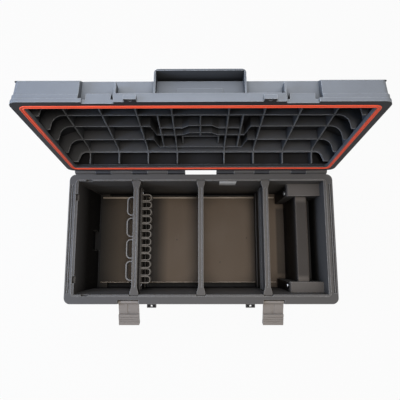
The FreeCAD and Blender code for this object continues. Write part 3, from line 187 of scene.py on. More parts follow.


# moulded plastics and rubbers: shaped in a spark-eroded mould, so a fine matt grain, cloudy gloss where
# they are handled, edges that catch the light and rub paler, a paleness that is also a painted highlight, and
# painted shade in nooks;
# the grain is drawn about twice as coarse as the real one so that it shows; the label's paper is drawn by the same
# nodes

moulding = {     # what a material gets where it doesn't say otherwise
    "ior": 1.49, "sheen": 0.3,                                        # sheen: how strongly a face mirrors
    "grainDetail": 2.0, "grainRough": 0.55, "grainReliefMm": 0.6,
    "cloudMm": 110, "cloudDetail": 6.0, "cloudRough": 0.74, "cloudDark": 0.74,
    "glossCloud": (0.3, 0.7), "glossSwing": (-0.06, 0.08),
    "edgeMatch": (0.995, 0.84), "edgeClear": (0.55, 0.8), "edgeSamples": 6, "rubAndHighlightGain": 1.7,
    "nookMm": 14, "nookDark": 0.35, "nookOpen": (0.1, 0.75), "nookSamples": 8,
}
plastics = {
    # dull grey shell, pale at its edges as scuffs and as painted highlight, dusty inside, with painted shade on
    # its inside walls, channels and nooks; the dust and shade stops are metres along the floor
    "tub polypropylene": {
        "colour": "#514F4D", "wearAndHighlight": "#96938E", "grainMm": 1.3, "grainDepth": 0.12, "roughness": 0.54,
        "edgeMm": 2.4, "sheen": 0.16, "nookMm": 70, "nookDark": 0.22, "paintedShade": "tub",
        "dustAndShade": {"height": (0.23, 0.13),
                 "along": ((-0.350, "#1D1A16"), (-0.225, "#574C40"), (-0.185, "#1A1714"), (-0.155, "#2A2520"),
                           (-0.115, "#5F5347"), (0.170, "#5F5347"), (0.195, "#2A2520"), (0.225, "#5F5347"))}},
    # paler and bluer outside; painted shade makes it nearly black inside and darker in the recess over its grip
    # bar; places are in metres
    "lid polypropylene": {
        "colour": "#6C7075", "wearAndHighlight": "#A4A7AA", "grainMm": 1.3, "grainDepth": 0.12, "roughness": 0.54,
        "edgeMm": 1.4, "sheen": 0.14, "nookMm": 60, "nookDark": 0.14,
        "inner": {"colour": "#2B2B2D", "facing": (-0.3, -0.8), "rearTop": 0.33},
        "hood": {"colour": "#4A4D51", "halfX": (0.0968, 0.0962), "foot": (0.574, 0.576),
                 "depth": (0.262, 0.325)}},
    # ribs with pale painted highlights along their edges
    "rib polypropylene": {
        "colour": "#4A4B4D", "wearAndHighlight": "#A9ABAD", "grainMm": 1.3, "grainDepth": 0.12, "roughness": 0.54,
        "edgeMm": 2.0, "sheen": 0.14, "nookMm": 60, "nookDark": 0.14},
    # partitions with painted shade on their faces, and top bars rubbed pale by hands, a paleness that is also a
    # painted highlight
    "divider polypropylene": {
        "colour": "#4F4C49", "wearAndHighlight": "#A09C96", "grainMm": 1.1, "grainDepth": 0.10, "roughness": 0.50,
        "edgeMm": 2.2, "sheen": 0.2, "nookMm": 30, "nookDark": 0.2, "paintedShade": "divider"},
    # loops paler and a little glossier than the dividers
    "holder polypropylene": {
        "colour": "#7A7671", "wearAndHighlight": "#B0ABA4", "grainMm": 1.0, "grainDepth": 0.08, "roughness": 0.48,
        "edgeMm": 1.0, "sheen": 0.2},
    # raised edge worn smooth, pale as wear and as painted highlight
    "worn bead polypropylene with painted highlight": {
        "colour": "#A89D90", "wearAndHighlight": "#C6BBAC", "grainMm": 1.1, "grainDepth": 0.06, "roughness": 0.36,
        "edgeMm": 0.8, "nookMm": 4},
    # warm grey levers, a little glossier than the shells
    "latch nylon": {
        "colour": "#827B74", "wearAndHighlight": "#A79F96", "grainMm": 1.0, "grainDepth": 0.08, "ior": 1.53,
        "roughness": 0.46, "edgeMm": 0.9},
    # near-black wheel centres
    "hub nylon": {
        "colour": "#3B3B3D", "wearAndHighlight": "#626266", "grainMm": 1.0, "grainDepth": 0.08, "ior": 1.53,
        "roughness": 0.48, "edgeMm": 0.9},
    # ivory, the smoothest of them
    "bush acetal": {
        "colour": "#D8D2C4", "wearAndHighlight": "#E6E0D4", "grainMm": 0.8, "grainDepth": 0.03, "ior": 1.48,
        "roughness": 0.35, "edgeMm": 0.3},
    # bright orange-red and smooth
    "seal silicone": {
        "colour": "#F75C3C", "wearAndHighlight": "#FF7A4C", "grainMm": 0.7, "grainDepth": 0.03, "ior": 1.41,
        "roughness": 0.38, "edgeMm": 0.5, "nookDark": 1.0},
    # dull black
    "tyre rubber": {
        "colour": "#232324", "wearAndHighlight": "#454545", "grainMm": 1.5, "grainDepth": 0.14, "ior": 1.52,
        "roughness": 0.74, "edgeMm": 0.8},
    # dull black, a little less matt than the tyres
    "grip elastomer": {
        "colour": "#2B2B2C", "wearAndHighlight": "#4A4A4B", "grainMm": 1.2, "grainDepth": 0.10, "ior": 1.50,
        "roughness": 0.66, "edgeMm": 0.6},
    # dark spots where the mould was filled, and painted shade standing for the inside of screw sockets
    "gate marks and painted socket shade": {
        "colour": "#2A2724", "wearAndHighlight": "#3A3632", "grainMm": 0.8, "grainDepth": 0.05, "roughness": 0.55,
        "edgeMm": 0.2},
    # white, matt, faintly fibrous
    "label paper": {
        "colour": "#FAF9F6", "wearAndHighlight": "#D5D3CE", "grainMm": 0.9, "grainDepth": 0.04, "ior": 1.47,
        "roughness": 0.62, "edgeMm": 0.3},
    # the same, but grey
    "label backing": {
        "colour": "#B4B2AE", "wearAndHighlight": "#9C9A96", "grainMm": 0.9, "grainDepth": 0.04, "ior": 1.47,
        "roughness": 0.62, "edgeMm": 0.3},
}
# painted shade inside the tub, in black, as pairs of where it starts and where it is full; places are in metres,
# up is how far a face looks up, and lookX and lookY are below zero on faces that look to the middle of the box
paintedShadeSettings = {
    "colour": "#0B0A0A", "up": (0.5, 0.8), "lookX": (-0.08, -0.15), "lookY": (-0.03, -0.08),
    "insideY": (0.1637, 0.1633), "beforeRidge": (0.3352, 0.3348), "channelTop": (0.0222, 0.0218),
    "pocketX": (-0.3533, -0.3537), "pocketZ": (0.06, 0.05), "endX": (0.3333, 0.3337), "endZ": (0.16, 0.13),
    "grooveFoot": (0.2447, 0.2449), "grooveTop": (0.2463, 0.2461),
    "ridgeX": (0.262, 0.268), "ridgeY": (0.120, 0.110), "ridgeZ": (0.200, 0.196),
    "ridgeTopDarkening": (0.90, 1.06),     # of up: a slight darkening of the flat top, never full
    "tub": {"X": (0.27, 0.14), "Y": (0.10, 0.03)}, "divider": {"X": (0.24, 0.10), "Y": (0.24, 0.10)},
}
# of a colour mix node, input 0 is the factor, 6 and 7 are the two colours and output 2 is the result


def patchShare(tree, ramps):
    # how strongly a patch is marked: each ramp is a source and its values where the mark starts and where it is
    # full
    patch = None
    for source, (start, full) in ramps:
        share = addNode(tree, "ShaderNodeMapRange", {"From Min": start, "From Max": full}, {"Value": source})
        if patch:
            share = addNode(tree, "ShaderNodeMath", {"operation": "MULTIPLY"},
                            {0: patch.outputs[0], 1: share.outputs[0]})
        patch = share
    return patch.outputs[0]


def addDustAndShade(tree, dustAndShade, place, facing, tone):
    # brown dust lies on the faces low in the tub that look up; the darker stops at the left end, under the tool
    # loops and at the foot of the right divider are painted shade
    first, last = dustAndShade["along"][0][0], dustAndShade["along"][-1][0]
    reach = addNode(tree, "ShaderNodeMapRange", {"From Min": first, "From Max": last},
                    {"Value": place.outputs["X"]})
    dustAndShadeRamp = addNode(tree, "ShaderNodeValToRGB", {}, {0: reach.outputs[0]})
    stops = dustAndShadeRamp.color_ramp.elements
    while len(stops) < len(dustAndShade["along"]):
        stops.new(1.0)
    for stop, (x, colour) in zip(stops, dustAndShade["along"]):
        stop.position = (x - first) / (last - first)
        stop.color = hexToLinear(colour)
    top, full = dustAndShade["height"]
    low = addNode(tree, "ShaderNodeMapRange", {"From Min": top, "From Max": full},
                  {"Value": place.outputs["Z"]})
    lying = addNode(tree, "ShaderNodeMath", {"operation": "MULTIPLY", "use_clamp": True},
                    {0: low.outputs[0], 1: facing.outputs["Z"]})
    return addNode(tree, "ShaderNodeMix", {"data_type": "RGBA"},
                   {0: lying.outputs[0], 6: tone, 7: dustAndShadeRamp.outputs["Color"]}).outputs[2]


def addPaintedShade(tree, paintedShade, heights, place, facing, tone):
    along, across, level = (place.outputs[axis] for axis in "XYZ")
    up = facing.outputs["Z"]
    lookX = addNode(tree, "ShaderNodeMath", {"operation": "MULTIPLY"},
                    {0: facing.outputs["X"], 1: along}).outputs[0]
    lookY = addNode(tree, "ShaderNodeMath", {"operation": "MULTIPLY"},
                    {0: facing.outputs["Y"], 1: across}).outputs[0]
    width = addNode(tree, "ShaderNodeMath", {"operation": "ABSOLUTE"}, {0: across}).outputs[0]
    patches = (
        # painted shade on end walls and side walls, fading out upwards
        ((lookX, paintedShade["lookX"]), (width, paintedShade["insideY"]), (along, paintedShade["beforeRidge"]),
         (level, heights["X"])),
        ((lookY, paintedShade["lookY"]), (level, heights["Y"])),
        # painted shade in the channels beside the floor, the foot pocket, the well behind the ridge and the groove
        # in the rim
        ((up, paintedShade["up"]), (level, paintedShade["channelTop"])),
        ((up, paintedShade["up"]), (along, paintedShade["pocketX"]), (level, paintedShade["pocketZ"])),
        ((up, paintedShade["up"]), (along, paintedShade["endX"]), (level, paintedShade["endZ"])),
        ((lookX, paintedShade["lookX"]), (along, paintedShade["endX"]), (level, paintedShade["endZ"])),
        ((up, paintedShade["up"]), (level, paintedShade["grooveFoot"]), (level, paintedShade["grooveTop"])),
        # the ridge's top between the wells, darkened a little
        ((up, paintedShade["ridgeTopDarkening"]), (along, paintedShade["ridgeX"]), (width, paintedShade["ridgeY"]),
         (level, paintedShade["ridgeZ"])),
    )
    paintedShadeShare = patchShare(tree, patches[0])
    for ramps in patches[1:]:
        paintedShadeShare = addNode(tree, "ShaderNodeMath", {"operation": "MAXIMUM"},
                        {0: paintedShadeShare, 1: patchShare(tree, ramps)}).outputs[0]
    return addNode(tree, "ShaderNodeMix", {"data_type": "RGBA", 7: hexToLinear(paintedShade["colour"])},
                   {0: paintedShadeShare, 6: tone}).outputs[2]


def addInnerShade(tree, inner, place, facing, tone):
    # painted shade: the lid's inside, which looks away from its top, is coloured darker
    start, full = inner["facing"]
    inward = addNode(tree, "ShaderNodeMapRange", {"From Min": start, "From Max": full},
                     {"Value": facing.outputs["Y"]})
    # so is the inside of its rear wall, which looks up at rest, next to the hinge
    near = addNode(tree, "ShaderNodeMath", {"operation": "LESS_THAN", 1: inner["rearTop"]},
                   {0: place.outputs["Z"]})
    rear = addNode(tree, "ShaderNodeMath", {"operation": "MULTIPLY", "use_clamp": True},
                   {0: near.outputs[0], 1: facing.outputs["Z"]})
    innerShadeShare = addNode(tree, "ShaderNodeMath", {"operation": "MAXIMUM"},
                     {0: inward.outputs[0], 1: rear.outputs[0]})
    return addNode(tree, "ShaderNodeMix", {"data_type": "RGBA", 7: hexToLinear(inner["colour"])},
                   {0: innerShadeShare.outputs[0], 6: tone}).outputs[2]


def addHoodShade(tree, hood, place, tone):
    # painted shade darkens the recess over the grip bar towards its hood
    width = addNode(tree, "ShaderNodeMath", {"operation": "ABSOLUTE"}, {0: place.outputs["X"]})
    hoodShadeShare = patchShare(tree, ((width.outputs[0], hood["halfX"]), (place.outputs["Z"], hood["foot"]),
                             (place.outputs["Y"], hood["depth"])))
    return addNode(tree, "ShaderNodeMix", {"data_type": "RGBA", 7: hexToLinear(hood["colour"])},
                   {0: hoodShadeShare, 6: tone}).outputs[2]


def mouldedPlastic(name, own):
    settings = {**moulding, **own}
    material, tree = newMaterial(name)
    coords = addNode(tree, "ShaderNodeTexCoord").outputs
    point = coords["Object"]
    grain = addNode(tree, "ShaderNodeTexNoise",
                    {"Scale": mmPerMetre / settings["grainMm"], "Detail": settings["grainDetail"],
                     "Roughness": settings["grainRough"]}, {"Vector": point})
    cloud = addNode(tree, "ShaderNodeTexNoise",
                    {"Scale": mmPerMetre / settings["cloudMm"], "Detail": settings["cloudDetail"],
                     "Roughness": settings["cloudRough"]}, {"Vector": point})
    # where the softened normal leaves the flat one there is an edge
    soft = addNode(tree, "ShaderNodeBevel",
                   {"samples": settings["edgeSamples"], "Radius": settings["edgeMm"] / mmPerMetre})
    flat = addNode(tree, "ShaderNodeNewGeometry")
    match = addNode(tree, "ShaderNodeVectorMath", {"operation": "DOT_PRODUCT"},
                    {0: soft.outputs[0], 1: flat.outputs["Normal"]})
    nook = addNode(tree, "ShaderNodeAmbientOcclusion",
                   {"samples": settings["nookSamples"], "Distance": settings["nookMm"] / mmPerMetre})
    # an edge in a corner isn't rubbed, so only the edges that stand clear turn pale, as wear and as painted
    # highlight
    paleEdgeShare = patchShare(tree, ((match.outputs["Value"], settings["edgeMatch"]),
                                (nook.outputs["AO"], settings["edgeClear"])))
    patchy = addNode(tree, "ShaderNodeMath", {"operation": "MULTIPLY", 1: settings["rubAndHighlightGain"]},
                     {0: cloud.outputs["Fac"]})
    rubAndHighlight = addNode(tree, "ShaderNodeMath", {"operation": "MULTIPLY", "use_clamp": True},
                  {0: paleEdgeShare, 1: patchy.outputs[0]})
    base = hexToLinear(settings["colour"])
    shade = tuple(settings["cloudDark"] * channel for channel in base[:3]) + (1.0,)
    tone = addNode(tree, "ShaderNodeMix", {"data_type": "RGBA", 6: shade, 7: base},
                   {0: cloud.outputs["Fac"]}).outputs[2]
    place = addNode(tree, "ShaderNodeSeparateXYZ", {}, {0: point})
    facing = addNode(tree, "ShaderNodeSeparateXYZ", {}, {0: coords["Normal"]})
    # dust with painted shade in it, painted shade inside the tub, and painted shade on the lid's inside and in its
    # hood recess
    if "dustAndShade" in settings:
        tone = addDustAndShade(tree, settings["dustAndShade"], place, facing, tone)
    if "paintedShade" in settings:
        tone = addPaintedShade(tree, paintedShadeSettings, paintedShadeSettings[settings["paintedShade"]], place, facing, tone)
    if "inner" in settings:
        tone = addInnerShade(tree, settings["inner"], place, facing, tone)
    if "hood" in settings:
        tone = addHoodShade(tree, settings["hood"], place, tone)
    wearAndHighlight = addNode(tree, "ShaderNodeMix", {"data_type": "RGBA", 7: hexToLinear(settings["wearAndHighlight"])},
                   {0: rubAndHighlight.outputs[0], 6: tone})
    # painted shade: ambient occlusion darkens the colour in the nooks between ribs, walls and grooves
    shut, opened = settings["nookOpen"]
    clear = addNode(tree, "ShaderNodeMapRange",
                    {"From Min": shut, "From Max": opened, "To Min": settings["nookDark"], "To Max": 1.0},
                    {"Value": nook.outputs["AO"]})
    final = addNode(tree, "ShaderNodeMix", {"data_type": "RGBA", "blend_type": "MULTIPLY", 0: 1.0},
                    {6: wearAndHighlight.outputs[2], 7: clear.outputs[0]})
    thin, thick = settings["glossCloud"]
    glossier, duller = (settings["roughness"] + swing for swing in settings["glossSwing"])
    gloss = addNode(tree, "ShaderNodeMapRange",
                    {"From Min": thin, "From Max": thick, "To Min": glossier, "To Max": duller},
                    {"Value": cloud.outputs["Fac"]})
    bump = addNode(tree, "ShaderNodeBump",
                   {"Strength": settings["grainDepth"], "Distance": settings["grainReliefMm"] / mmPerMetre},
                   {"Height": grain.outputs["Fac"], "Normal": soft.outputs[0]})
    shader = addNode(tree, "ShaderNodeBsdfPrincipled",
                     {"IOR": settings["ior"], "Specular IOR Level": settings["sheen"]},
                     {"Base Color": final.outputs[2], "Roughness": gloss.outputs[0],
                      "Normal": bump.outputs[0]})
    addNode(tree, "ShaderNodeOutputMaterial", {}, {"Surface": shader.outputs[0]})
    return material


# zinc plated steel: bright blue-grey metal with a faint drawn grain and duller patches

steelSettings = {"colour": "#A9ADB4", "roughness": 0.34, "glossSwing": (-0.06, 0.1), "detail": 3.0,
                 "grainMm": 0.6, "grainDepth": 0.05, "grainReliefMm": 0.3, "patchMm": 16}


def zincSteel(settings):
    material, tree = newMaterial("zinc plated steel")
    point = addNode(tree, "ShaderNodeTexCoord").outputs["Object"]
    grain = addNode(tree, "ShaderNodeTexNoise",
                    {"Scale": mmPerMetre / settings["grainMm"], "Detail": settings["detail"]},
                    {"Vector": point})
    patch = addNode(tree, "ShaderNodeTexNoise",
                    {"Scale": mmPerMetre / settings["patchMm"], "Detail": settings["detail"]},
                    {"Vector": point})
    glossier, duller = (settings["roughness"] + swing for swing in settings["glossSwing"])
    gloss = addNode(tree, "ShaderNodeMapRange", {"To Min": glossier, "To Max": duller},
                    {"Value": patch.outputs["Fac"]})
    bump = addNode(tree, "ShaderNodeBump",
                   {"Strength": settings["grainDepth"], "Distance": settings["grainReliefMm"] / mmPerMetre},
                   {"Height": grain.outputs["Fac"]})
    shader = addNode(tree, "ShaderNodeBsdfPrincipled",
                     {"Base Color": hexToLinear(settings["colour"]), "Metallic": 1.0},
                     {"Roughness": gloss.outputs[0], "Normal": bump.outputs[0]})
    addNode(tree, "ShaderNodeOutputMaterial", {}, {"Surface": shader.outputs[0]})
    return material


# which finish each material slot gets, and the nodes that have one of their own

finishOf = {
    "tub_plastic": "tub polypropylene", "lid_plastic": "lid polypropylene",
    "divider_plastic": "divider polypropylene", "latch_plastic": "latch nylon", "hub_plastic": "hub nylon",
    "bush_plastic": "bush acetal", "seal_rubber": "seal silicone", "tyre_rubber": "tyre rubber",
    "grip_rubber": "grip elastomer", "zinc_steel": "zinc plated steel",
}
ownFinish = {"lid_rib_grid": "rib polypropylene", "bit_holder": "holder polypropylene",
             "tool_holder": "holder polypropylene"}
finishes = {name: mouldedPlastic(name, own) for name, own in plastics.items()}
finishes["zinc plated steel"] = zincSteel(steelSettings)


def dressNodes():
    for part in frame["record"]["subparts"]:
        mesh = nodes[part["node"]].data
        mesh.materials.clear()
        mesh.materials.append(finishes[ownFinish.get(part["node"], finishOf[part["material_slot"]])])


dressNodes()
print("CAD nodes finished in", len(finishes), "materials")


# making and placing new pieces

def addPiece(name, mesh, body, finish=None):
    if finish:
        mesh.materials.append(finishes[finish])
    piece = bpy.data.objects.new(name, mesh)
    bpy.context.scene.collection.objects.link(piece)
    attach(piece, body)
    return piece


def meshOf(name, points, faces, smooth=False):
    mesh = bpy.data.meshes.new(name)
    mesh.from_pydata(points, [], faces)
    work = bmesh.new()
    work.from_mesh(mesh)
    bmesh.ops.recalc_face_normals(work, faces=work.faces)
    work.to_mesh(mesh)
    work.free()
    mesh.polygons.foreach_set("use_smooth", [smooth] * len(mesh.polygons))
    return mesh


def closedLoft(rings):
    # faces between closed rings of equal length, the last ring joined to the first
    count = len(rings[0])
    points = [point for ring in rings for point in ring]
    faces = []
    for i in range(len(rings)):
        after = (i + 1) % len(rings)
        for j in range(count):
            k = (j + 1) % count
            faces.append((i * count + j, i * count + k, after * count + k, after * count + j))
    return points, faces


def nodesMesh(name, tree, values, starter=None):
    # runs a Geometry Nodes tree on a throwaway object and keeps the plain mesh it gives
    holder = bpy.data.objects.new(name, starter or bpy.data.meshes.new(name))
    bpy.context.scene.collection.objects.link(holder)
    modifier = holder.modifiers.new("nodes", "NODES")
    modifier.node_group = tree
    for item in tree.interface.items_tree:
        if item.in_out == "INPUT" and item.name in values:
            modifier[item.identifier] = values[item.name]
    graph = bpy.context.evaluated_depsgraph_get()
    mesh = bpy.data.meshes.new_from_object(holder.evaluated_get(graph))
    holder.modifiers.remove(modifier)
    bpy.data.objects.remove(holder)
    mesh.name = name
    return mesh


def newTree(name, inputs):
    tree = bpy.data.node_groups.new(name, "GeometryNodeTree")
    tree.interface.new_socket("Geometry", in_out="INPUT", socket_type="NodeSocketGeometry")
    for label, kind in inputs.items():
        tree.interface.new_socket(label, in_out="INPUT", socket_type="NodeSocket" + kind)
    tree.interface.new_socket("Geometry", in_out="OUTPUT", socket_type="NodeSocketGeometry")
    return tree, addNode(tree, "NodeGroupInput").outputs


def endTree(tree, geometry, material):
    real = addNode(tree, "GeometryNodeRealizeInstances", {}, {"Geometry": geometry})
    painted = addNode(tree, "GeometryNodeSetMaterial", {},
                      {"Geometry": real.outputs[0], "Material": material})
    addNode(tree, "NodeGroupOutput", {}, {0: painted.outputs[0]})


# tyre tread: two rows of slanted blocks round each tyre, half a step apart, sunk a little into the rubber

treadSettings = {"count": 44, "heightMm": 1.6, "lengthMm": 7.5, "widthMm": 13.5, "rowMm": 8.2, "slant": 18.0,
                 "sinkMm": 1.1}


def treadTree():
    tree, given = newTree("tread blocks", {"Count": "Int", "Radius": "Float", "Block": "Vector",
                                           "Row": "Float", "Slant": "Float", "Material": "Material"})
    circle = addNode(tree, "GeometryNodeMeshCircle", {},
                     {"Vertices": given["Count"], "Radius": given["Radius"]})
    block = addNode(tree, "GeometryNodeMeshCube", {}, {"Size": given["Block"]})
    outward = addNode(tree, "GeometryNodeInputPosition")
    facing = addNode(tree, "FunctionNodeAlignRotationToVector", {"axis": "X", "pivot_axis": "Z"},
                     {"Vector": outward.outputs[0]})
    row = addNode(tree, "GeometryNodeInstanceOnPoints", {},
                  {"Points": circle.outputs[0], "Instance": block.outputs[0], "Rotation": facing.outputs[0]})
    lean = addNode(tree, "ShaderNodeCombineXYZ", {}, {"X": given["Slant"]})
    slanted = addNode(tree, "GeometryNodeRotateInstances", {},
                      {"Instances": row.outputs[0], "Rotation": lean.outputs[0]})
    halfTurn = addNode(tree, "ShaderNodeMath", {"operation": "DIVIDE", 0: math.pi}, {1: given["Count"]})
    turn = addNode(tree, "ShaderNodeCombineXYZ", {"X": math.pi}, {"Z": halfTurn.outputs[0]})
    shift = addNode(tree, "ShaderNodeCombineXYZ", {}, {"Z": given["Row"]})
    back = addNode(tree, "ShaderNodeVectorMath", {"operation": "SCALE", "Scale": -1.0}, {0: shift.outputs[0]})
    upper = addNode(tree, "GeometryNodeTransform", {},
                    {"Geometry": slanted.outputs[0], "Translation": shift.outputs[0]})
    lower = addNode(tree, "GeometryNodeTransform", {},
                    {"Geometry": slanted.outputs[0], "Translation": back.outputs[0],
                     "Rotation": turn.outputs[0]})
    both = addNode(tree, "GeometryNodeJoinGeometry", {}, {0: upper.outputs[0]})
    tree.links.new(lower.outputs[0], both.inputs[0])
    endTree(tree, both.outputs[0], given["Material"])
    return tree


def addTreads(settings):
    tree = treadTree()
    upright = Matrix.Rotation(math.radians(-90), 4, "X")
    for end in ("front", "rear"):
        low, high = (Vector(corner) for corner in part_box("tyre_" + end))
        middle = (low + high) / 2
        radius = (high.z - low.z) / 2
        values = {"Count": settings["count"], "Radius": radius - settings["sinkMm"] / mmPerMetre,
                  "Block": tuple(settings[key] / mmPerMetre for key in ("heightMm", "lengthMm", "widthMm")),
                  "Row": settings["rowMm"] / mmPerMetre, "Slant": math.radians(settings["slant"]),
                  "Material": finishes["tyre rubber"]}
        mesh = nodesMesh("tread_" + end, tree, values)
        mesh.transform(Matrix.Translation(middle) @ upright)
        addPiece("tread_" + end, mesh, "wheel_" + end)


addTreads(treadSettings)
print("tyre treads made")


# seal: a silicone gasket with two soft lips and a channel between them for the tub's rim bead;
# it runs round the lid's rim, half to each side and from rear to front as measured from the hinge

sealSettings = {
    "halfMm": 380.0, "rearMm": 20.0, "frontMm": 372.0, "cornerMm": 16.0, "steps": 8,
    # across the gasket from its outer edge, and how far it stands out of the lid's rim
    "profileMm": ((0, -4.2), (0, 0), (0.5, 0.9), (1.5, 1.4), (2.6, 1.2), (3.3, 0.3), (4.75, 0.1), (6.2, 0.3),
                  (6.9, 1.2), (8.0, 1.4), (9.0, 0.9), (9.5, 0), (9.5, -4.2)),
}


def addSeal(settings):
    hinge = Vector(joints["lid_hinge"]["pos_m"])
    lean = math.radians(joints["lid_hinge"]["range_deg"][1] - 90)     # how far the open lid leans back
    along = Vector((0, math.sin(lean), math.cos(lean)))
    inward = Vector((0, math.cos(lean), -math.sin(lean)))
    corner = settings["cornerMm"]
    rings = []
    for quarter, (sideX, sideV) in enumerate(((1, 1), (-1, 1), (-1, -1), (1, -1))):
        u = sideX * (settings["halfMm"] - corner)
        v = settings["frontMm"] - corner if sideV > 0 else settings["rearMm"] + corner
        for step in range(settings["steps"] + 1):
            angle = (quarter + step / settings["steps"]) * math.pi / 2
            ring = []
            for across, proud in settings["profileMm"]:
                reach = corner - across
                place = (Vector((u + reach * math.cos(angle), 0, 0)) + along * (v + reach * math.sin(angle))
                         - inward * proud)
                ring.append(hinge + place / mmPerMetre)
            rings.append(ring)
    points, faces = closedLoft(rings)
    seal = addPiece("seal_gasket", meshOf("seal_gasket", points, faces, True), "lid",
                    "seal silicone")
    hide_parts("lid_seal")


addSeal(sealSettings)
print("seal made")


# grip on the pull handle: a soft sleeve with rings pressed into it; the shares are of the rings' spacing,
# and say where a groove's floor starts and ends and where the sleeve is full again

gripSettings = {"rings": 13, "grooveMm": 0.9, "endMm": 9.0, "sides": 40, "boreMm": 8.0,
                "grooveShares": (0.15, 0.40, 0.55)}


def addGrip(settings):
    low, high = (Vector(corner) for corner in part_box("pull_handle_grip"))
    middle = (low + high) / 2
    radius = (high.x - low.x) / 2
    bore = settings["boreMm"] / mmPerMetre
    groove = settings["grooveMm"] / mmPerMetre
    end = settings["endMm"] / mmPerMetre
    pitch = (high.y - low.y - 2 * end) / settings["rings"]
    floorStart, floorEnd, fullAgain = (share * pitch for share in settings["grooveShares"])
    profile = [(low.y, bore), (low.y, radius - groove), (low.y + groove, radius)]
    for i in range(settings["rings"]):
        start = low.y + end + i * pitch
        profile += [(start, radius), (start + floorStart, radius - groove),
                    (start + floorEnd, radius - groove), (start + fullAgain, radius)]
    profile += [(high.y - groove, radius), (high.y, radius - groove), (high.y, bore)]
    rings = []
    for i in range(settings["sides"]):
        angle = i / settings["sides"] * 2 * math.pi
        rings.append([(middle.x + r * math.cos(angle), y, middle.z + r * math.sin(angle))
                      for y, r in profile])
    points, faces = closedLoft(rings)
    grip = addPiece("grip_sleeve", meshOf("grip_sleeve", points, faces), "pull_handle",
                    "grip elastomer")
    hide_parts("pull_handle_grip")


addGrip(gripSettings)
print("grip made")


# small round and six-sided spots: gate marks on the tub's floor, and painted shade for the sockets in the screw
# heads

tubFloor = 0.026     # m, top of the tub's floor
gateSettings = {"radiusMm": 1.8, "heightMm": 0.5, "sides": 14,
                "places": ((-0.300, 0.004), (-0.085, 0.004), (0.066, -0.074), (0.160, 0.010), (0.240, 0.004))}
socketShadeSettings = {"radiusMm": 1.9, "heightMm": 0.5, "sides": 6, "mergeMm": 0.01}


def spotTree():
    tree, given = newTree("spots", {"Sides": "Int", "Radius": "Float", "Depth": "Float", "Turn": "Vector",
                                    "Material": "Material"})
    spot = addNode(tree, "GeometryNodeMeshCylinder", {},
                   {"Vertices": given["Sides"], "Radius": given["Radius"], "Depth": given["Depth"]})
    turn = addNode(tree, "FunctionNodeEulerToRotation", {}, {0: given["Turn"]})
    spots = addNode(tree, "GeometryNodeInstanceOnPoints", {},
                    {"Points": given["Geometry"], "Instance": spot.outputs[0], "Rotation": turn.outputs[0]})
    endTree(tree, spots.outputs[0], given["Material"])
    return tree


def islandBoxes(node, mergeMm):
    # lowest and highest corner of each separate solid in a CAD node
    work = bmesh.new()
    work.from_mesh(nodes[node].data)
    bmesh.ops.remove_doubles(work, verts=work.verts, dist=mergeMm / mmPerMetre)
    seen = set()
    boxes = []
    for first in work.verts:
        if first in seen:
            continue
        seen.add(first)
        waiting = [first]
        found = []
        while waiting:
            vert = waiting.pop()
            found.append(vert.co.copy())
            for link in vert.link_edges:
                other = link.other_vert(vert)
                if other not in seen:
                    seen.add(other)
                    waiting.append(other)
        boxes.append((Vector(map(min, *found)), Vector(map(max, *found))))
    work.free()
    return boxes


def addSpots(name, tree, settings, points, turn, body):
    starter = bpy.data.meshes.new(name)
    starter.from_pydata(points, [], [])
    values = {"Sides": settings["sides"], "Radius": settings["radiusMm"] / mmPerMetre,
              "Depth": settings["heightMm"] / mmPerMetre, "Turn": turn,
              "Material": finishes["gate marks and painted socket shade"]}
    addPiece(name, nodesMesh(name, tree, values, starter), body)


def addAllSpots():
    tree = spotTree()
    marks = [(x, y, tubFloor) for x, y in gateSettings["places"]]
    addSpots("gate_marks", tree, gateSettings, marks, (0, 0, 0), "tub")
    # the bracket screws' heads look to -X and the holder bolts' heads to +X
    # painted shade: dark six-sided spots on the screw heads stand for their sockets
    for name, node, headSide, body in (("bracket_socket_shade", "bracket_screws", 0, "tub"),
                                       ("holder_socket_shade", "holder_bolts", 1, "divider_left")):
        heads = []
        for corners in islandBoxes(node, socketShadeSettings["mergeMm"]):
            middle = (corners[0] + corners[1]) / 2
            heads.append((corners[headSide].x, middle.y, middle.z))
        addSpots(name, tree, socketShadeSettings, heads, (0, math.pi / 2, 0), body)


addAllSpots()
print("spots made")


# beads along the floor's edges beside the channels, broken at the dividers, rubbed pale by what slides
# over them, a paleness that is also a painted highlight; the rear one stands taller

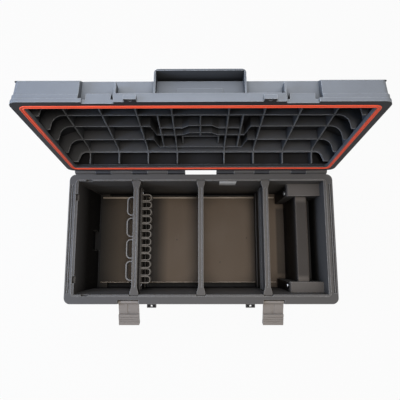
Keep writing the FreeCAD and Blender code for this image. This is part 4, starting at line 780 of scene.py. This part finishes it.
beadSettings = {"left": -0.3500, "right": 0.2600, "dividerGap": 0.0035, "steps": 6,
                "rear": {"y": 0.1540, "halfMm": 3.2, "highMm": 2.4},
                "front": {"y": -0.1422, "halfMm": 1.2, "highMm": 0.8}}


def addBeads(settings):
    gap = settings["dividerGap"]
    stops = [settings["left"]]
    for side in ("left", "middle", "right"):
        low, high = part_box("divider_" + side)
        middle = (low[0] + high[0]) / 2
        stops += [middle - gap, middle + gap]
    stops.append(settings["right"])
    count = settings["steps"] + 1
    for end in ("rear", "front"):
        bead = settings[end]
        points = []
        faces = []
        for x in stops:
            for i in range(count):
                angle = i / settings["steps"] * math.pi
                points.append((x, bead["y"] + bead["halfMm"] / mmPerMetre * math.cos(angle),
                               tubFloor + bead["highMm"] / mmPerMetre * math.sin(angle)))
        for first in range(0, len(stops), 2):
            near = [first * count + i for i in range(count)]
            far = [(first + 1) * count + i for i in range(count)]
            for i in range(count):
                k = (i + 1) % count
                faces.append((near[i], near[k], far[k], far[i]))
            faces += [near, far]
        name = "floor_bead_" + end
        addPiece(name, meshOf(name, points, faces, True), "tub", "worn bead polypropylene with painted highlight")


addBeads(beadSettings)
print("floor beads made")


# blank paper label on the rear wall of the third compartment, on the stretch that leans out;
# the wall's foot and top are Y and Z

labelSettings = {"left": 0.057, "right": 0.108, "low": 0.196, "high": 0.240, "split": 0.216, "thickMm": 0.25,
                 "wallFoot": (0.1665, 0.190), "wallTop": (0.1705, 0.247)}


def addLabel(settings):
    (footY, footZ), (topY, topZ) = settings["wallFoot"], settings["wallTop"]
    lean = (topY - footY) / (topZ - footZ)
    left, right, thick = settings["left"], settings["right"], settings["thickMm"] / mmPerMetre
    for name, low, high, finish in (("label_upper", settings["split"], settings["high"], "label paper"),
                                    ("label_lower", settings["low"], settings["split"], "label backing")):
        points = []
        for out in (0, thick):
            for x, z in ((left, low), (right, low), (right, high), (left, high)):
                points.append((x, footY + lean * (z - footZ) - out, z))
        faces = [(0, 1, 2, 3), (4, 5, 6, 7), (0, 1, 5, 4), (1, 2, 6, 5), (2, 3, 7, 6), (3, 0, 4, 7)]
        addPiece(name, meshOf(name, points, faces), "tub", finish)


addLabel(labelSettings)
print("label made")
